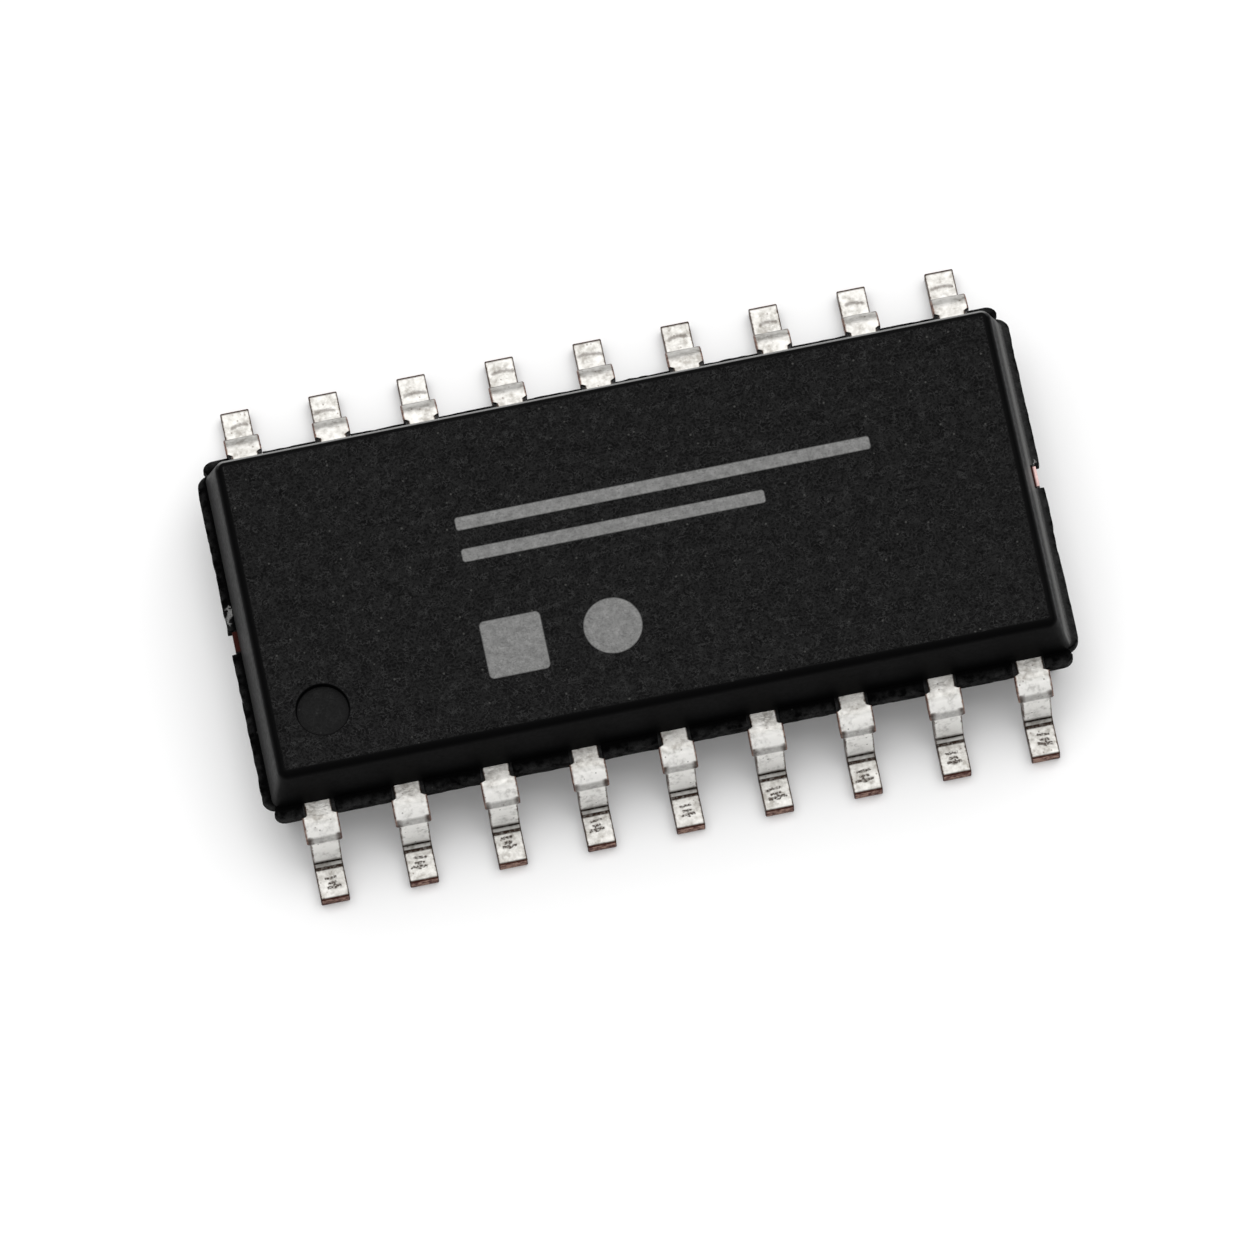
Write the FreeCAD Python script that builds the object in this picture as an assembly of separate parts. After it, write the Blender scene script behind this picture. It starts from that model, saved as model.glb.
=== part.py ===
import FreeCAD, Part
import math
import os

from FreeCAD import Vector

# Integrated circuit in a small-outline package with eighteen gull-wing leads.
# Millimetres. The origin is on the seating plane, under the middle of the body.
# +X runs along the body, the pin-one end is at -X, +Y points to the higher pin numbers, +Z is up.

# Pin pattern
PIN_SPACING = 1.27
PINS_PER_SIDE = 9

# Stamped sheet that the leads and the die pad are cut from
SHEET = 0.21
NECK_WIDTH = 0.38
STUB_WIDTH = 0.505
FOOT_WIDTH = 0.41

# Gull-wing form, measured outwards from the body's wall
SHOULDER_LENGTH = 0.20
STUB_START = 0.19
STUB_TAPER = 0.03
BEND_INNER_RADIUS = 0.10
RISER_ANGLE = 80.0
FOOT_LENGTH = 0.448

# Moulded body, widest at the parting plane
END_MARGIN = 0.635
BODY_WIDTH = 5.16
STANDOFF = 0.10
LOWER_HEIGHT = 0.865
UPPER_HEIGHT = 0.915
UPPER_DRAFT_ANGLE = 11.0
LOWER_DRAFT_ANGLE = 8.0
CORNER_RADIUS = 0.14
TOP_EDGE_RADIUS = 0.13
BOTTOM_EDGE_RADIUS = 0.06

# Rim of flash around the parting plane
SIDE_FLASH = 0.15
END_FLASH = 0.115
FLASH_END_RADIUS = 0.10
FLASH_CORNER_GAP = 0.05
FLASH_CHAMFER = 0.11
CLEFT_WIDTH = 0.045

# Pin-one dimple and the two ejector marks on the underside
DIMPLE_RADIUS = 0.372
DIMPLE_DEPTH = 0.08
DIMPLE_FROM_END = 0.955
DIMPLE_FROM_SIDE = 1.05
EJECTOR_RADIUS = 0.45
EJECTOR_DEPTH = 0.03
EJECTOR_SPACING = 6.4

# Die pad and its tie bars
PAD_LENGTH = 3.8
PAD_WIDTH = 2.2
PAD_DOWNSET = 0.15
DOWNSET_RUN = 0.25
DOWNSET_GAP = 0.35
TIE_WIDTH = 0.30
TIE_NOTCH_WIDTH = 0.36
TIE_STICK_OUT = 0.05
TIE_OFFSET = 0.09

# Inner fingers
KNEE_DEPTH = 0.45
FINGER_TIP_WIDTH = 0.24
FINGER_GAP = 0.20
TIP_SPREAD = 0.70
PINS_ON_PAD_SIDE = 5

# Die, adhesive and bond wires
DIE_LENGTH = 2.2
DIE_WIDTH = 1.5
DIE_THICKNESS = 0.28
ADHESIVE_THICKNESS = 0.02
ADHESIVE_MARGIN = 0.06
BOND_INSET = 0.12
WIRE_WIDTH = 0.03
WIRE_SIDES = 6
BALL_DIAMETER = 0.09
BALL_SIDES = 8
BALL_HEIGHT = 0.02
LOOP_HEIGHT = 0.20
LOOP_CREST_SHARE = 0.30
LOOP_CORNER_SHARE = 0.35
STITCH_LENGTH = 0.09
STITCH_WIDTH = 0.06
STITCH_HEIGHT = 0.012
STITCH_INSET = 0.12

# Heights and half sizes that several pieces share
BODY_LENGTH = PIN_SPACING * (PINS_PER_SIDE - 1) + 2 * END_MARGIN
HALF_LENGTH = BODY_LENGTH / 2
HALF_WIDTH = BODY_WIDTH / 2
PARTING_Z = STANDOFF + LOWER_HEIGHT
TOP_Z = PARTING_Z + UPPER_HEIGHT
SHEET_TOP = PARTING_Z + SHEET / 2
SHEET_BOTTOM = PARTING_Z - SHEET / 2
PAD_TOP = SHEET_TOP - PAD_DOWNSET
DIE_BOTTOM = PAD_TOP + ADHESIVE_THICKNESS
DIE_TOP = DIE_BOTTOM + DIE_THICKNESS


def plate(points, z_low, z_high):
    """A flat piece: a closed outline of (x, y) points, from z_low up to z_high."""
    loop = [Vector(x, y, z_low) for x, y in points]
    loop.append(loop[0])
    face = Part.Face(Part.makePolygon(loop))
    return face.extrude(Vector(0, 0, z_high - z_low))


def block(x_low, x_high, y_low, y_high, z_low, z_high):
    """A box between two corners."""
    size = (x_high - x_low, y_high - y_low, z_high - z_low)
    return Part.makeBox(*size, Vector(x_low, y_low, z_low))


def rounded_rectangle(half_x, half_y, radius, z):
    """A closed outline with four straight sides and four quarter-round corners."""
    edges = []
    centres = [(1, 1, 0), (-1, 1, 90), (-1, -1, 180), (1, -1, 270)]
    for side_x, side_y, start in centres:
        centre = Vector(side_x * (half_x - radius), side_y * (half_y - radius), z)
        edges.append(Part.makeCircle(radius, centre, Vector(0, 0, 1), start, start + 90))
    loop = []
    for index, arc in enumerate(edges):
        following = edges[(index + 1) % len(edges)]
        loop.append(arc)
        loop.append(Part.makeLine(arc.Vertexes[-1].Point, following.Vertexes[0].Point))
    return Part.Wire(loop)


def drafted_half(far_z, edge_radius, draft):
    """Half of the moulded block, from the parting plane to far_z, tapering and with round edges."""
    inset = abs(far_z - PARTING_Z) * math.tan(math.radians(draft))
    wide = rounded_rectangle(HALF_LENGTH, HALF_WIDTH, CORNER_RADIUS, PARTING_Z)
    narrow = rounded_rectangle(HALF_LENGTH - inset, HALF_WIDTH - inset, CORNER_RADIUS, far_z)
    solid = Part.makeLoft([wide, narrow], True, True)
    rim = [edge for edge in solid.Edges if all(abs(v.Z - far_z) < 1e-6 for v in edge.Vertexes)]
    return solid.makeFillet(edge_radius, rim)


def pin_x(number):
    """Where a pin stands along the body. Pins count along -Y from -X, then back along +Y."""
    place = number if number <= PINS_PER_SIDE else 2 * PINS_PER_SIDE + 1 - number
    return (place - (PINS_PER_SIDE + 1) / 2) * PIN_SPACING


def pin_side(number):
    """-1 for the row of pin one, 1 for the other row."""
    return -1 if number <= PINS_PER_SIDE else 1


def side_flash(side):
    """The rim along a long side, with round ends and a cleft on each side of every lead."""
    length = HALF_LENGTH - FLASH_CORNER_GAP
    low, high = sorted((side * (HALF_WIDTH - CORNER_RADIUS), side * (HALF_WIDTH + SIDE_FLASH)))
    rim = block(-length, length, low, high, SHEET_BOTTOM, SHEET_TOP)
    outer = side * (HALF_WIDTH + SIDE_FLASH)
    corners = [edge for edge in rim.Edges if all(abs(v.Y - outer) < 1e-6 for v in edge.Vertexes)
               and abs(edge.Vertexes[0].X - edge.Vertexes[1].X) < 1e-6
               and abs(edge.Vertexes[0].Z - edge.Vertexes[1].Z) > 1e-6]
    return rim.makeFillet(FLASH_END_RADIUS, corners)


def cleft_slots(side):
    """The gaps in a long rim that leave each lead's neck free."""
    half = NECK_WIDTH / 2 + CLEFT_WIDTH
    low, high = sorted((side * HALF_WIDTH, side * (HALF_WIDTH + 2 * SIDE_FLASH)))
    numbers = [n for n in range(1, 2 * PINS_PER_SIDE + 1) if pin_side(n) == side]
    return [block(pin_x(n) - half, pin_x(n) + half, low, high, SHEET_BOTTOM, SHEET_TOP)
            for n in numbers]


def end_flash(end):
    """The rim across a short end, its corners cut off and a notch open around the tie bar."""
    inner = end * (HALF_LENGTH - CORNER_RADIUS)
    corner = end * (HALF_LENGTH - CORNER_RADIUS / 4)
    outer = end * (HALF_LENGTH + END_FLASH)
    reach = HALF_WIDTH - CORNER_RADIUS / 3
    outline = [(inner, -reach), (corner, -reach), (outer, -reach + FLASH_CHAMFER),
               (outer, reach - FLASH_CHAMFER), (corner, reach), (inner, reach)]
    return plate(outline, SHEET_BOTTOM, SHEET_TOP)


def tie_middle(end):
    """Where a tie bar stands across the body: in the middle at -X, a little to +Y at +X."""
    return TIE_OFFSET if end > 0 else 0.0


def tie_notch(end):
    """The gap in a short rim where the tie bar was cut off."""
    low, high = sorted((end * HALF_LENGTH, end * (HALF_LENGTH + 2 * END_FLASH)))
    middle = tie_middle(end)
    half = TIE_NOTCH_WIDTH / 2
    return block(low, high, middle - half, middle + half, SHEET_BOTTOM, SHEET_TOP)


def solid_body():
    """The moulded block before the pieces inside it are taken out."""
    upper = drafted_half(TOP_Z, TOP_EDGE_RADIUS, UPPER_DRAFT_ANGLE)
    lower = drafted_half(STANDOFF, BOTTOM_EDGE_RADIUS, LOWER_DRAFT_ANGLE)
    rims = [side_flash(1), side_flash(-1), end_flash(1), end_flash(-1)]
    slots = cleft_slots(1) + cleft_slots(-1) + [tie_notch(1), tie_notch(-1)]
    rim = rims[0].fuse(rims[1:]).cut(slots)
    body = upper.fuse([lower, rim])
    return body.cut(surface_marks()).removeSplitter()


def surface_marks():
    """The pin-one dimple in the top and the two ejector marks in the underside."""
    up = Vector(0, 0, 1)
    dimple_at = Vector(-HALF_LENGTH + DIMPLE_FROM_END, -HALF_WIDTH + DIMPLE_FROM_SIDE,
                       TOP_Z - DIMPLE_DEPTH)
    marks = [Part.makeCylinder(DIMPLE_RADIUS, 2 * DIMPLE_DEPTH, dimple_at, up)]
    for end in (-1, 1):
        at = Vector(end * EJECTOR_SPACING / 2, 0, STANDOFF - EJECTOR_DEPTH)
        marks.append(Part.makeCylinder(EJECTOR_RADIUS, 2 * EJECTOR_DEPTH, at, up))
    return marks


class GullWing:
    """The lead's side profile: (distance out from the wall, height) points of its middle line."""

    def __init__(self):
        self.bend = BEND_INNER_RADIUS + SHEET / 2
        self.angle = math.radians(RISER_ANGLE)
        self.run = self.bend * math.sin(self.angle)
        self.drop = self.bend * (1 - math.cos(self.angle))
        self.riser_drop = PARTING_Z - SHEET / 2 - 2 * self.drop
        self.riser_run = self.riser_drop / math.tan(self.angle)
        self.bend_end = SHOULDER_LENGTH + self.run
        self.riser_end = self.bend_end + self.riser_run
        self.foot_start = self.riser_end + self.run
        self.reach = self.foot_start + FOOT_LENGTH

    def shoulder(self, start, width):
        """The flat shoulder from start, and the bend down from it."""
        top, bottom = SHEET_TOP, SHEET_BOTTOM
        centre = (SHOULDER_LENGTH, PARTING_Z - self.bend)
        outer = self.arc(centre, self.bend + SHEET / 2, 90, 90 - RISER_ANGLE)
        inner = self.arc(centre, self.bend - SHEET / 2, 90 - RISER_ANGLE, 90)
        points = [(start, top), *outer, *inner, (start, bottom)]
        return self.extrude(points, width)

    def riser(self, width):
        """The straight riser between the two bends."""
        across = (SHEET / 2 * math.sin(self.angle), SHEET / 2 * math.cos(self.angle))
        high = (self.bend_end, PARTING_Z - self.drop)
        low = (self.riser_end, SHEET / 2 + self.drop)
        points = [(high[0] + across[0], high[1] + across[1]), (low[0] + across[0], low[1] + across[1]),
                  (low[0] - across[0], low[1] - across[1]), (high[0] - across[0], high[1] - across[1])]
        return self.extrude(points, width)

    def foot(self, width):
        """The lower bend and the flat foot."""
        centre = (self.foot_start, SHEET / 2 + self.bend)
        inner = self.arc(centre, self.bend - SHEET / 2, 270 - RISER_ANGLE, 270)
        outer = self.arc(centre, self.bend + SHEET / 2, 270, 270 - RISER_ANGLE)
        points = [*inner, (self.reach, SHEET), (self.reach, 0), *outer]
        return self.extrude(points, width)

    def arc(self, centre, radius, start, end):
        """Three points of an arc, its ends and its middle, as one entry for extrude."""
        angles = [math.radians(a) for a in (start, (start + end) / 2, end)]
        ends = [(centre[0] + radius * math.cos(a), centre[1] + radius * math.sin(a)) for a in angles]
        return [("arc", *ends)]

    def extrude(self, points, width):
        """A closed profile of points and arcs, given its width about the lead's middle."""
        vectors = []
        for point in points:
            vectors.append([Vector(-width / 2, p[0], p[1]) for p in
                            (point[1:] if point[0] == "arc" else [point])])
        edges = []
        for index, group in enumerate(vectors):
            following = vectors[(index + 1) % len(vectors)][0]
            if len(group) == 3:
                edges.append(Part.Arc(*group).toShape())
            if group[-1].distanceToPoint(following) > 1e-7:
                edges.append(Part.makeLine(group[-1], following))
        return Part.Face(Part.Wire(edges)).extrude(Vector(width, 0, 0))


def stub_tapers(wing):
    """The short slopes in plan between the dambar stub and the narrower metal on each side."""
    before = plate([(-NECK_WIDTH / 2, STUB_START - STUB_TAPER), (NECK_WIDTH / 2, STUB_START - STUB_TAPER),
                    (STUB_WIDTH / 2, STUB_START), (-STUB_WIDTH / 2, STUB_START)],
                   SHEET_BOTTOM, SHEET_TOP)
    after = plate([(-STUB_WIDTH / 2, 0), (STUB_WIDTH / 2, 0), (FOOT_WIDTH / 2, STUB_TAPER),
                   (-FOOT_WIDTH / 2, STUB_TAPER)], -SHEET / 2, SHEET / 2)
    after.rotate(Vector(0, 0, 0), Vector(1, 0, 0), -RISER_ANGLE)
    after.translate(Vector(0, wing.bend_end, PARTING_Z - wing.drop))
    return [before, after]


def outer_lead(wing):
    """One gull wing, for a lead at x = 0 whose wall is at y = 0, pointing to +Y."""
    neck = block(-NECK_WIDTH / 2, NECK_WIDTH / 2, -KNEE_DEPTH, STUB_START, SHEET_BOTTOM, SHEET_TOP)
    pieces = [wing.shoulder(STUB_START, STUB_WIDTH), wing.riser(FOOT_WIDTH), wing.foot(FOOT_WIDTH)]
    return neck.fuse(pieces + stub_tapers(wing)).removeSplitter()


def finger_tip(offset):
    """Where a finger ends, for a lead so many pins from the middle, on the +X, +Y quarter."""
    beside = (PINS_ON_PAD_SIDE - 1) // 2
    if offset <= beside:
        return offset * PIN_SPACING * TIP_SPREAD, PAD_WIDTH / 2 + FINGER_GAP
    last = (PINS_PER_SIDE - 1) // 2
    step = (PAD_WIDTH / 2 - TIE_WIDTH / 2 - FINGER_GAP) / max(1, last - beside)
    height = TIE_WIDTH / 2 + FINGER_GAP + FINGER_TIP_WIDTH / 2 + step * (last - offset)
    return PAD_LENGTH / 2 + FINGER_GAP, height


def finger(x):
    """The flat finger inside the body, from the knee to its tip, for a lead on the +Y side."""
    offset = abs(round(x / PIN_SPACING))
    turn = 1 if x >= 0 else -1
    tip_x, tip_y = finger_tip(offset)
    knee = Vector(x, HALF_WIDTH - KNEE_DEPTH, 0)
    tip = Vector(turn * tip_x, tip_y, 0)
    along = (tip - knee).normalize()
    across = Vector(-along.y, along.x, 0)
    wide = across * (NECK_WIDTH / 2)
    slim = across * (FINGER_TIP_WIDTH / 2)
    outline = [(p.x, p.y) for p in (knee + wide, tip + slim, tip - slim, knee - wide)]
    run = plate(outline, SHEET_BOTTOM, SHEET_TOP)
    joint = Part.makeCylinder(NECK_WIDTH / 2, SHEET, Vector(x, HALF_WIDTH - KNEE_DEPTH, SHEET_BOTTOM))
    return run.fuse(joint)


def lead(number, wing):
    """One whole lead: its gull wing and its finger are a single stamped piece."""
    x = pin_x(number)
    side = pin_side(number)
    outer = outer_lead(wing)
    outer.translate(Vector(x, HALF_WIDTH, 0))
    shape = outer.fuse(finger(x)).removeSplitter()
    if side < 0:
        shape = shape.mirror(Vector(0, 0, 0), Vector(0, 1, 0))
    return shape


def die_pad():
    """The pad with a tie bar at each end, stepped down from the plane of the fingers."""
    shapes = [block(-PAD_LENGTH / 2, PAD_LENGTH / 2, -PAD_WIDTH / 2, PAD_WIDTH / 2,
                    PAD_TOP - SHEET, PAD_TOP)]
    step_start = PAD_LENGTH / 2 + DOWNSET_GAP
    step_end = step_start + DOWNSET_RUN
    end = HALF_LENGTH + TIE_STICK_OUT
    low = PAD_TOP - SHEET
    profile = [(0, PAD_TOP), (step_start, PAD_TOP), (step_end, SHEET_TOP), (end, SHEET_TOP),
               (end, SHEET_BOTTOM), (step_end, SHEET_BOTTOM), (step_start, low), (0, low)]
    for turn in (-1, 1):
        loop = [Vector(turn * x, tie_middle(turn) - TIE_WIDTH / 2, z) for x, z in profile]
        loop.append(loop[0])
        bar = Part.Face(Part.makePolygon(loop)).extrude(Vector(0, TIE_WIDTH, 0))
        shapes.append(bar)
    return shapes[0].fuse(shapes[1:]).removeSplitter()


def centred_block(length, width, z_low, z_high):
    """A box with its middle over the origin."""
    return block(-length / 2, length / 2, -width / 2, width / 2, z_low, z_high)


def bond_points(number):
    """The ball's place on the die and the stitch's place on the finger, for one pin."""
    x = pin_x(number)
    side = pin_side(number)
    turn = 1 if x >= 0 else -1
    offset = abs(round(x / PIN_SPACING))
    beside = (PINS_ON_PAD_SIDE - 1) // 2
    tip_x, tip_y = finger_tip(offset)
    tip = Vector(turn * tip_x, side * tip_y, 0)
    knee = Vector(x, side * (HALF_WIDTH - KNEE_DEPTH), 0)
    stitch = tip + (knee - tip).normalize() * STITCH_INSET
    rim_x = DIE_LENGTH / 2 - BOND_INSET
    rim_y = DIE_WIDTH / 2 - BOND_INSET
    if offset <= beside:
        ball = Vector(turn * rim_x * offset / (beside + 0.3), side * rim_y, 0)
    else:
        last = (PINS_PER_SIDE - 1) // 2
        share = (last - offset + 1) / (last - beside + 0.6)
        ball = Vector(turn * rim_x, side * rim_y * share, 0)
    return ball, stitch


def cut_corners(points, share):
    """A route whose inner corners are each replaced by two points, so that the bends are gentler."""
    route = [points[0]]
    for before, corner, after in zip(points, points[1:], points[2:]):
        reach = share * min(corner.distanceToPoint(before), corner.distanceToPoint(after))
        route.append(corner + (before - corner).normalize() * reach)
        route.append(corner + (after - corner).normalize() * reach)
    route.append(points[-1])
    return route


def flat_sided_outline(centre, first, second, radius, sides):
    """A closed regular outline in the plane of two directions, with one flat side facing the first."""
    loop = []
    for index in range(sides + 1):
        angle = 2 * math.pi * (index + 0.5) / sides
        loop.append(centre + first * (radius * math.cos(angle)) + second * (radius * math.sin(angle)))
    return Part.makePolygon(loop)


def bond_wire(number):
    """A ball on the die, a loop of fine wire and a pressed stitch on the finger, all flat-sided."""
    ball_at, stitch_at = bond_points(number)
    along = (stitch_at - ball_at).normalize()
    across = Vector(-along.y, along.x, 0)
    span = stitch_at.distanceToPoint(ball_at)
    base = Vector(ball_at.x, ball_at.y, DIE_TOP)
    crest = Vector(ball_at.x, ball_at.y, DIE_TOP + LOOP_HEIGHT)
    land = Vector(stitch_at.x, stitch_at.y, SHEET_TOP + WIRE_WIDTH / 2)
    corners = [base, crest, crest + along * (span * LOOP_CREST_SHARE), land - along * STITCH_LENGTH, land]
    path = Part.makePolygon(cut_corners(corners, LOOP_CORNER_SHARE))
    wire_radius = WIRE_WIDTH / 2 / math.cos(math.pi / WIRE_SIDES)
    section = flat_sided_outline(base, along, across, wire_radius, WIRE_SIDES)
    loop = path.makePipeShell([section], True, False, 1)
    ball_outline = flat_sided_outline(base, along, across, BALL_DIAMETER / 2, BALL_SIDES)
    ball = Part.Face(ball_outline).extrude(Vector(0, 0, BALL_HEIGHT))
    stitch = centred_block(STITCH_LENGTH, STITCH_WIDTH, SHEET_TOP, SHEET_TOP + STITCH_HEIGHT)
    stitch.rotate(Vector(0, 0, 0), Vector(0, 0, 1), math.degrees(math.atan2(along.y, along.x)))
    stitch.translate(stitch_at)
    return loop.fuse([ball, stitch]).removeSplitter()


def build():
    """Every piece by its node's name."""
    wing = GullWing()
    numbers = range(1, 2 * PINS_PER_SIDE + 1)
    parts = {f"lead_{number:02d}": lead(number, wing) for number in numbers}
    parts["die_pad"] = die_pad()
    parts["die_attach"] = centred_block(DIE_LENGTH + 2 * ADHESIVE_MARGIN, DIE_WIDTH + 2 * ADHESIVE_MARGIN,
                                        PAD_TOP, DIE_BOTTOM)
    parts["silicon_die"] = centred_block(DIE_LENGTH, DIE_WIDTH, DIE_BOTTOM, DIE_TOP)
    for number in numbers:
        parts[f"bond_wire_{number:02d}"] = bond_wire(number)
    parts["molded_body"] = solid_body().cut(list(parts.values()))
    return parts


def main():
    os.makedirs("parts", exist_ok=True)
    wing = GullWing()
    print("lead span", round(BODY_WIDTH + 2 * wing.reach, 3), "height", round(TOP_Z, 3))
    for name, shape in build().items():
        solids = shape.Solids
        print(name, len(solids), shape.isValid(), round(shape.Volume, 4), len(shape.Faces))
        result = solids[0] if len(solids) == 1 else shape
        result.exportStep(f"parts/{name}.step")


main()
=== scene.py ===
import math

import bmesh
import bpy
import numpy as np
from mathutils import Matrix, Vector


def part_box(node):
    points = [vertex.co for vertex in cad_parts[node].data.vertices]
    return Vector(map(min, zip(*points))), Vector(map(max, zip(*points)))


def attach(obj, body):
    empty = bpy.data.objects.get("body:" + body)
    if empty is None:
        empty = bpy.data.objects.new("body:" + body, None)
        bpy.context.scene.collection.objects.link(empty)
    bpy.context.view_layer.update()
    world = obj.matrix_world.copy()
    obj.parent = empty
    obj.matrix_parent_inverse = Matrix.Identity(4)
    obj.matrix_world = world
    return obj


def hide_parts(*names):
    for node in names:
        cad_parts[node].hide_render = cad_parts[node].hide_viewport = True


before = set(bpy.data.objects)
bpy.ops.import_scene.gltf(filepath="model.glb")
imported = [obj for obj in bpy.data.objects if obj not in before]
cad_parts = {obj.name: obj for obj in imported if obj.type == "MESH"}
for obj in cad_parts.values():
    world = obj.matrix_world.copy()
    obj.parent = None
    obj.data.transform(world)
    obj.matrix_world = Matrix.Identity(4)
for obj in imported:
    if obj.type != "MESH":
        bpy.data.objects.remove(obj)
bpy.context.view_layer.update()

bl_info = {
    "name": "Eighteen-lead integrated circuit",
    "version": (1, 0, 0),
    "blender": (4, 5, 0),
    "location": "View3D > Sidebar > Circuit",
    "description": "Builds the surfaces and finishes of a small-outline integrated circuit",
    "category": "Add Mesh",
}

MM = 0.001
BODY_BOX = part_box("molded_body")
LEAD_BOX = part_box("lead_01")


def length_mm(title, description, value, lowest=0.0):
    """A length property whose default is given in millimetres."""
    return bpy.props.FloatProperty(name=title, description=description, default=value * MM,
                                   min=lowest * MM, unit="LENGTH", precision=6)


def angle_degrees(title, description, value):
    """An angle property whose default is given in degrees."""
    return bpy.props.FloatProperty(name=title, description=description,
                                   default=math.radians(value), subtype="ANGLE")


def colour(title, description, value):
    """A colour property in linear light."""
    return bpy.props.FloatVectorProperty(name=title, description=description, default=value,
                                         size=3, min=0.0, max=1.0, subtype="COLOR")


def plain_number(title, description, value):
    """A plain number that isn't negative."""
    return bpy.props.FloatProperty(name=title, description=description, default=value, min=0.0)


class LeadSizes(bpy.types.PropertyGroup):
    """Sizes of the eighteen stamped and formed leads."""

    pins_per_side: bpy.props.IntProperty(name="Pins per side", description="Leads on a long side",
                                         default=9, min=1)
    spacing: length_mm("Pin spacing", "Distance between neighbouring leads", 1.27)
    sheet: length_mm("Sheet", "Thickness of the stamped sheet", 0.21)
    neck_width: length_mm("Neck width", "Width where the lead leaves the body", 0.38)
    stub_width: length_mm("Stub width", "Width over the cut dambar stubs", 0.505)
    foot_width: length_mm("Foot width", "Width of the riser and the foot", 0.41)
    finger_width: length_mm("Finger width", "Width of the tip inside the body", 0.24)
    shoulder: length_mm("Shoulder", "Level run outside the wall", 0.20)
    stub_start: length_mm("Stub start", "Distance from the wall to the stubs", 0.19)
    stub_taper: length_mm("Stub taper", "Length over which the width changes", 0.03)
    bend_radius: length_mm("Bend radius", "Inside radius of both bends", 0.10)
    riser_angle: angle_degrees("Riser angle", "Slope of the riser below level", 80.0)
    foot: length_mm("Foot", "Flat length of the foot", 0.448)
    knee_depth: length_mm("Knee depth", "How far inside the wall the finger turns", 0.45)
    edge_radius: length_mm("Edge radius", "Roundness of the stamped edges", 0.020)
    tip_radius: length_mm("Tip radius", "Roundness of the cut ends", 0.020)
    waviness: length_mm("Waviness", "Unevenness of the plated upper face", 0.0014)
    dent_from_tip: length_mm("Dent from tip", "Distance from the tip to the probe's print", 0.217)


class BodySizes(bpy.types.PropertyGroup):
    """Sizes of the moulded block, its rim of flash and its round marks."""

    upper_draft: angle_degrees("Upper draft", "Slope of the upper walls from upright", 11.0)
    lower_draft: angle_degrees("Lower draft", "Slope of the lower walls from upright", 8.0)
    corner_radius: length_mm("Corner radius", "Roundness of the upright corners", 0.14)
    top_radius: length_mm("Top edge radius", "Roundness of the upper edges", 0.13)
    bottom_radius: length_mm("Bottom edge radius", "Roundness of the lower edges", 0.06)
    side_flash: length_mm("Side flash", "How far the rim stands out on a long side", 0.15)
    end_flash: length_mm("End flash", "How far the rim stands out on a short end", 0.115)
    flash_round: length_mm("Flash round", "Roundness of the long rims' ends", 0.10)
    flash_gap: length_mm("Flash gap", "Bare length at the end of a long rim", 0.05)
    flash_chamfer: length_mm("Flash chamfer", "Cut at the corners of a short rim", 0.11)
    flash_edge: length_mm("Flash edge", "Roundness of the rim's outer edges", 0.014)
    flash_tear: length_mm("Flash tear", "How far the broken edge wanders inwards", 0.022)
    flash_uneven: length_mm("Flash uneven", "Unevenness of the rim's upper side", 0.014)
    cleft: length_mm("Cleft", "Gap between the rim and a lead", 0.045)
    notch: length_mm("Notch", "Width of the gap around a tie bar", 0.36)
    tie_offset: length_mm("Tie offset", "How far the +X tie bar stands off the middle", 0.09)
    dimple_radius: length_mm("Dimple radius", "Radius of the pin-one mark", 0.372)
    dimple_depth: length_mm("Dimple depth", "Depth of the pin-one mark", 0.08)
    dimple_from_end: length_mm("Dimple from end", "From the end wall to its middle", 0.955)
    dimple_from_side: length_mm("Dimple from side", "From the side wall to its middle", 1.05)
    ejector_radius: length_mm("Ejector radius", "Radius of a mark underneath", 0.45)
    ejector_depth: length_mm("Ejector depth", "Depth of a mark underneath", 0.03)
    ejector_spacing: length_mm("Ejector spacing", "Distance between the two marks", 6.4)
    mark_edge: length_mm("Mark edge", "Roundness at the rim of a mark", 0.012)


class FinishColours(bpy.types.PropertyGroup):
    """Colours of the finishes, in linear light."""

    compound: colour("Compound", "Dark resin between the filler grains", (0.0012, 0.0012, 0.0013))
    filler: colour("Filler", "Paler grains in the moulding compound", (0.034, 0.034, 0.034))
    speck: colour("Speck", "Pale specks on the surface", (0.10, 0.10, 0.095))
    mark: colour("Mark", "Laser-marked fields", (0.30, 0.30, 0.295))
    tin: colour("Tin", "Bright tin plate", (0.60, 0.59, 0.565))
    tin_shade: colour("Tin shade", "Duller patches of the plate", (0.32, 0.305, 0.28))
    # Painted light: a bright colour that lifts the riser and the bend above it on the row of pin one
    riser_painted_light: colour("Burnish", "Plate rubbed bright by the forming tool", (0.95, 0.94, 0.91))
    outline: colour("Outline", "Bruised plate along the sheared edges", (0.075, 0.047, 0.034))
    copper: colour("Copper", "Bare cut copper", (0.36, 0.235, 0.185))
    fresh: colour("Fresh copper", "Copper at the newer cut", (0.60, 0.42, 0.40))
    tarnish: colour("Tarnish", "Darkened copper", (0.075, 0.022, 0.018))
    gold: colour("Gold", "Bond wires", (0.92, 0.66, 0.25))
    silicon: colour("Silicon", "Top of the die", (0.05, 0.065, 0.085))
    adhesive: colour("Adhesive", "Silver-filled die adhesive", (0.42, 0.42, 0.40))
    floor: colour("Floor", "Studio floor", (0.90, 0.90, 0.90))


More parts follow.
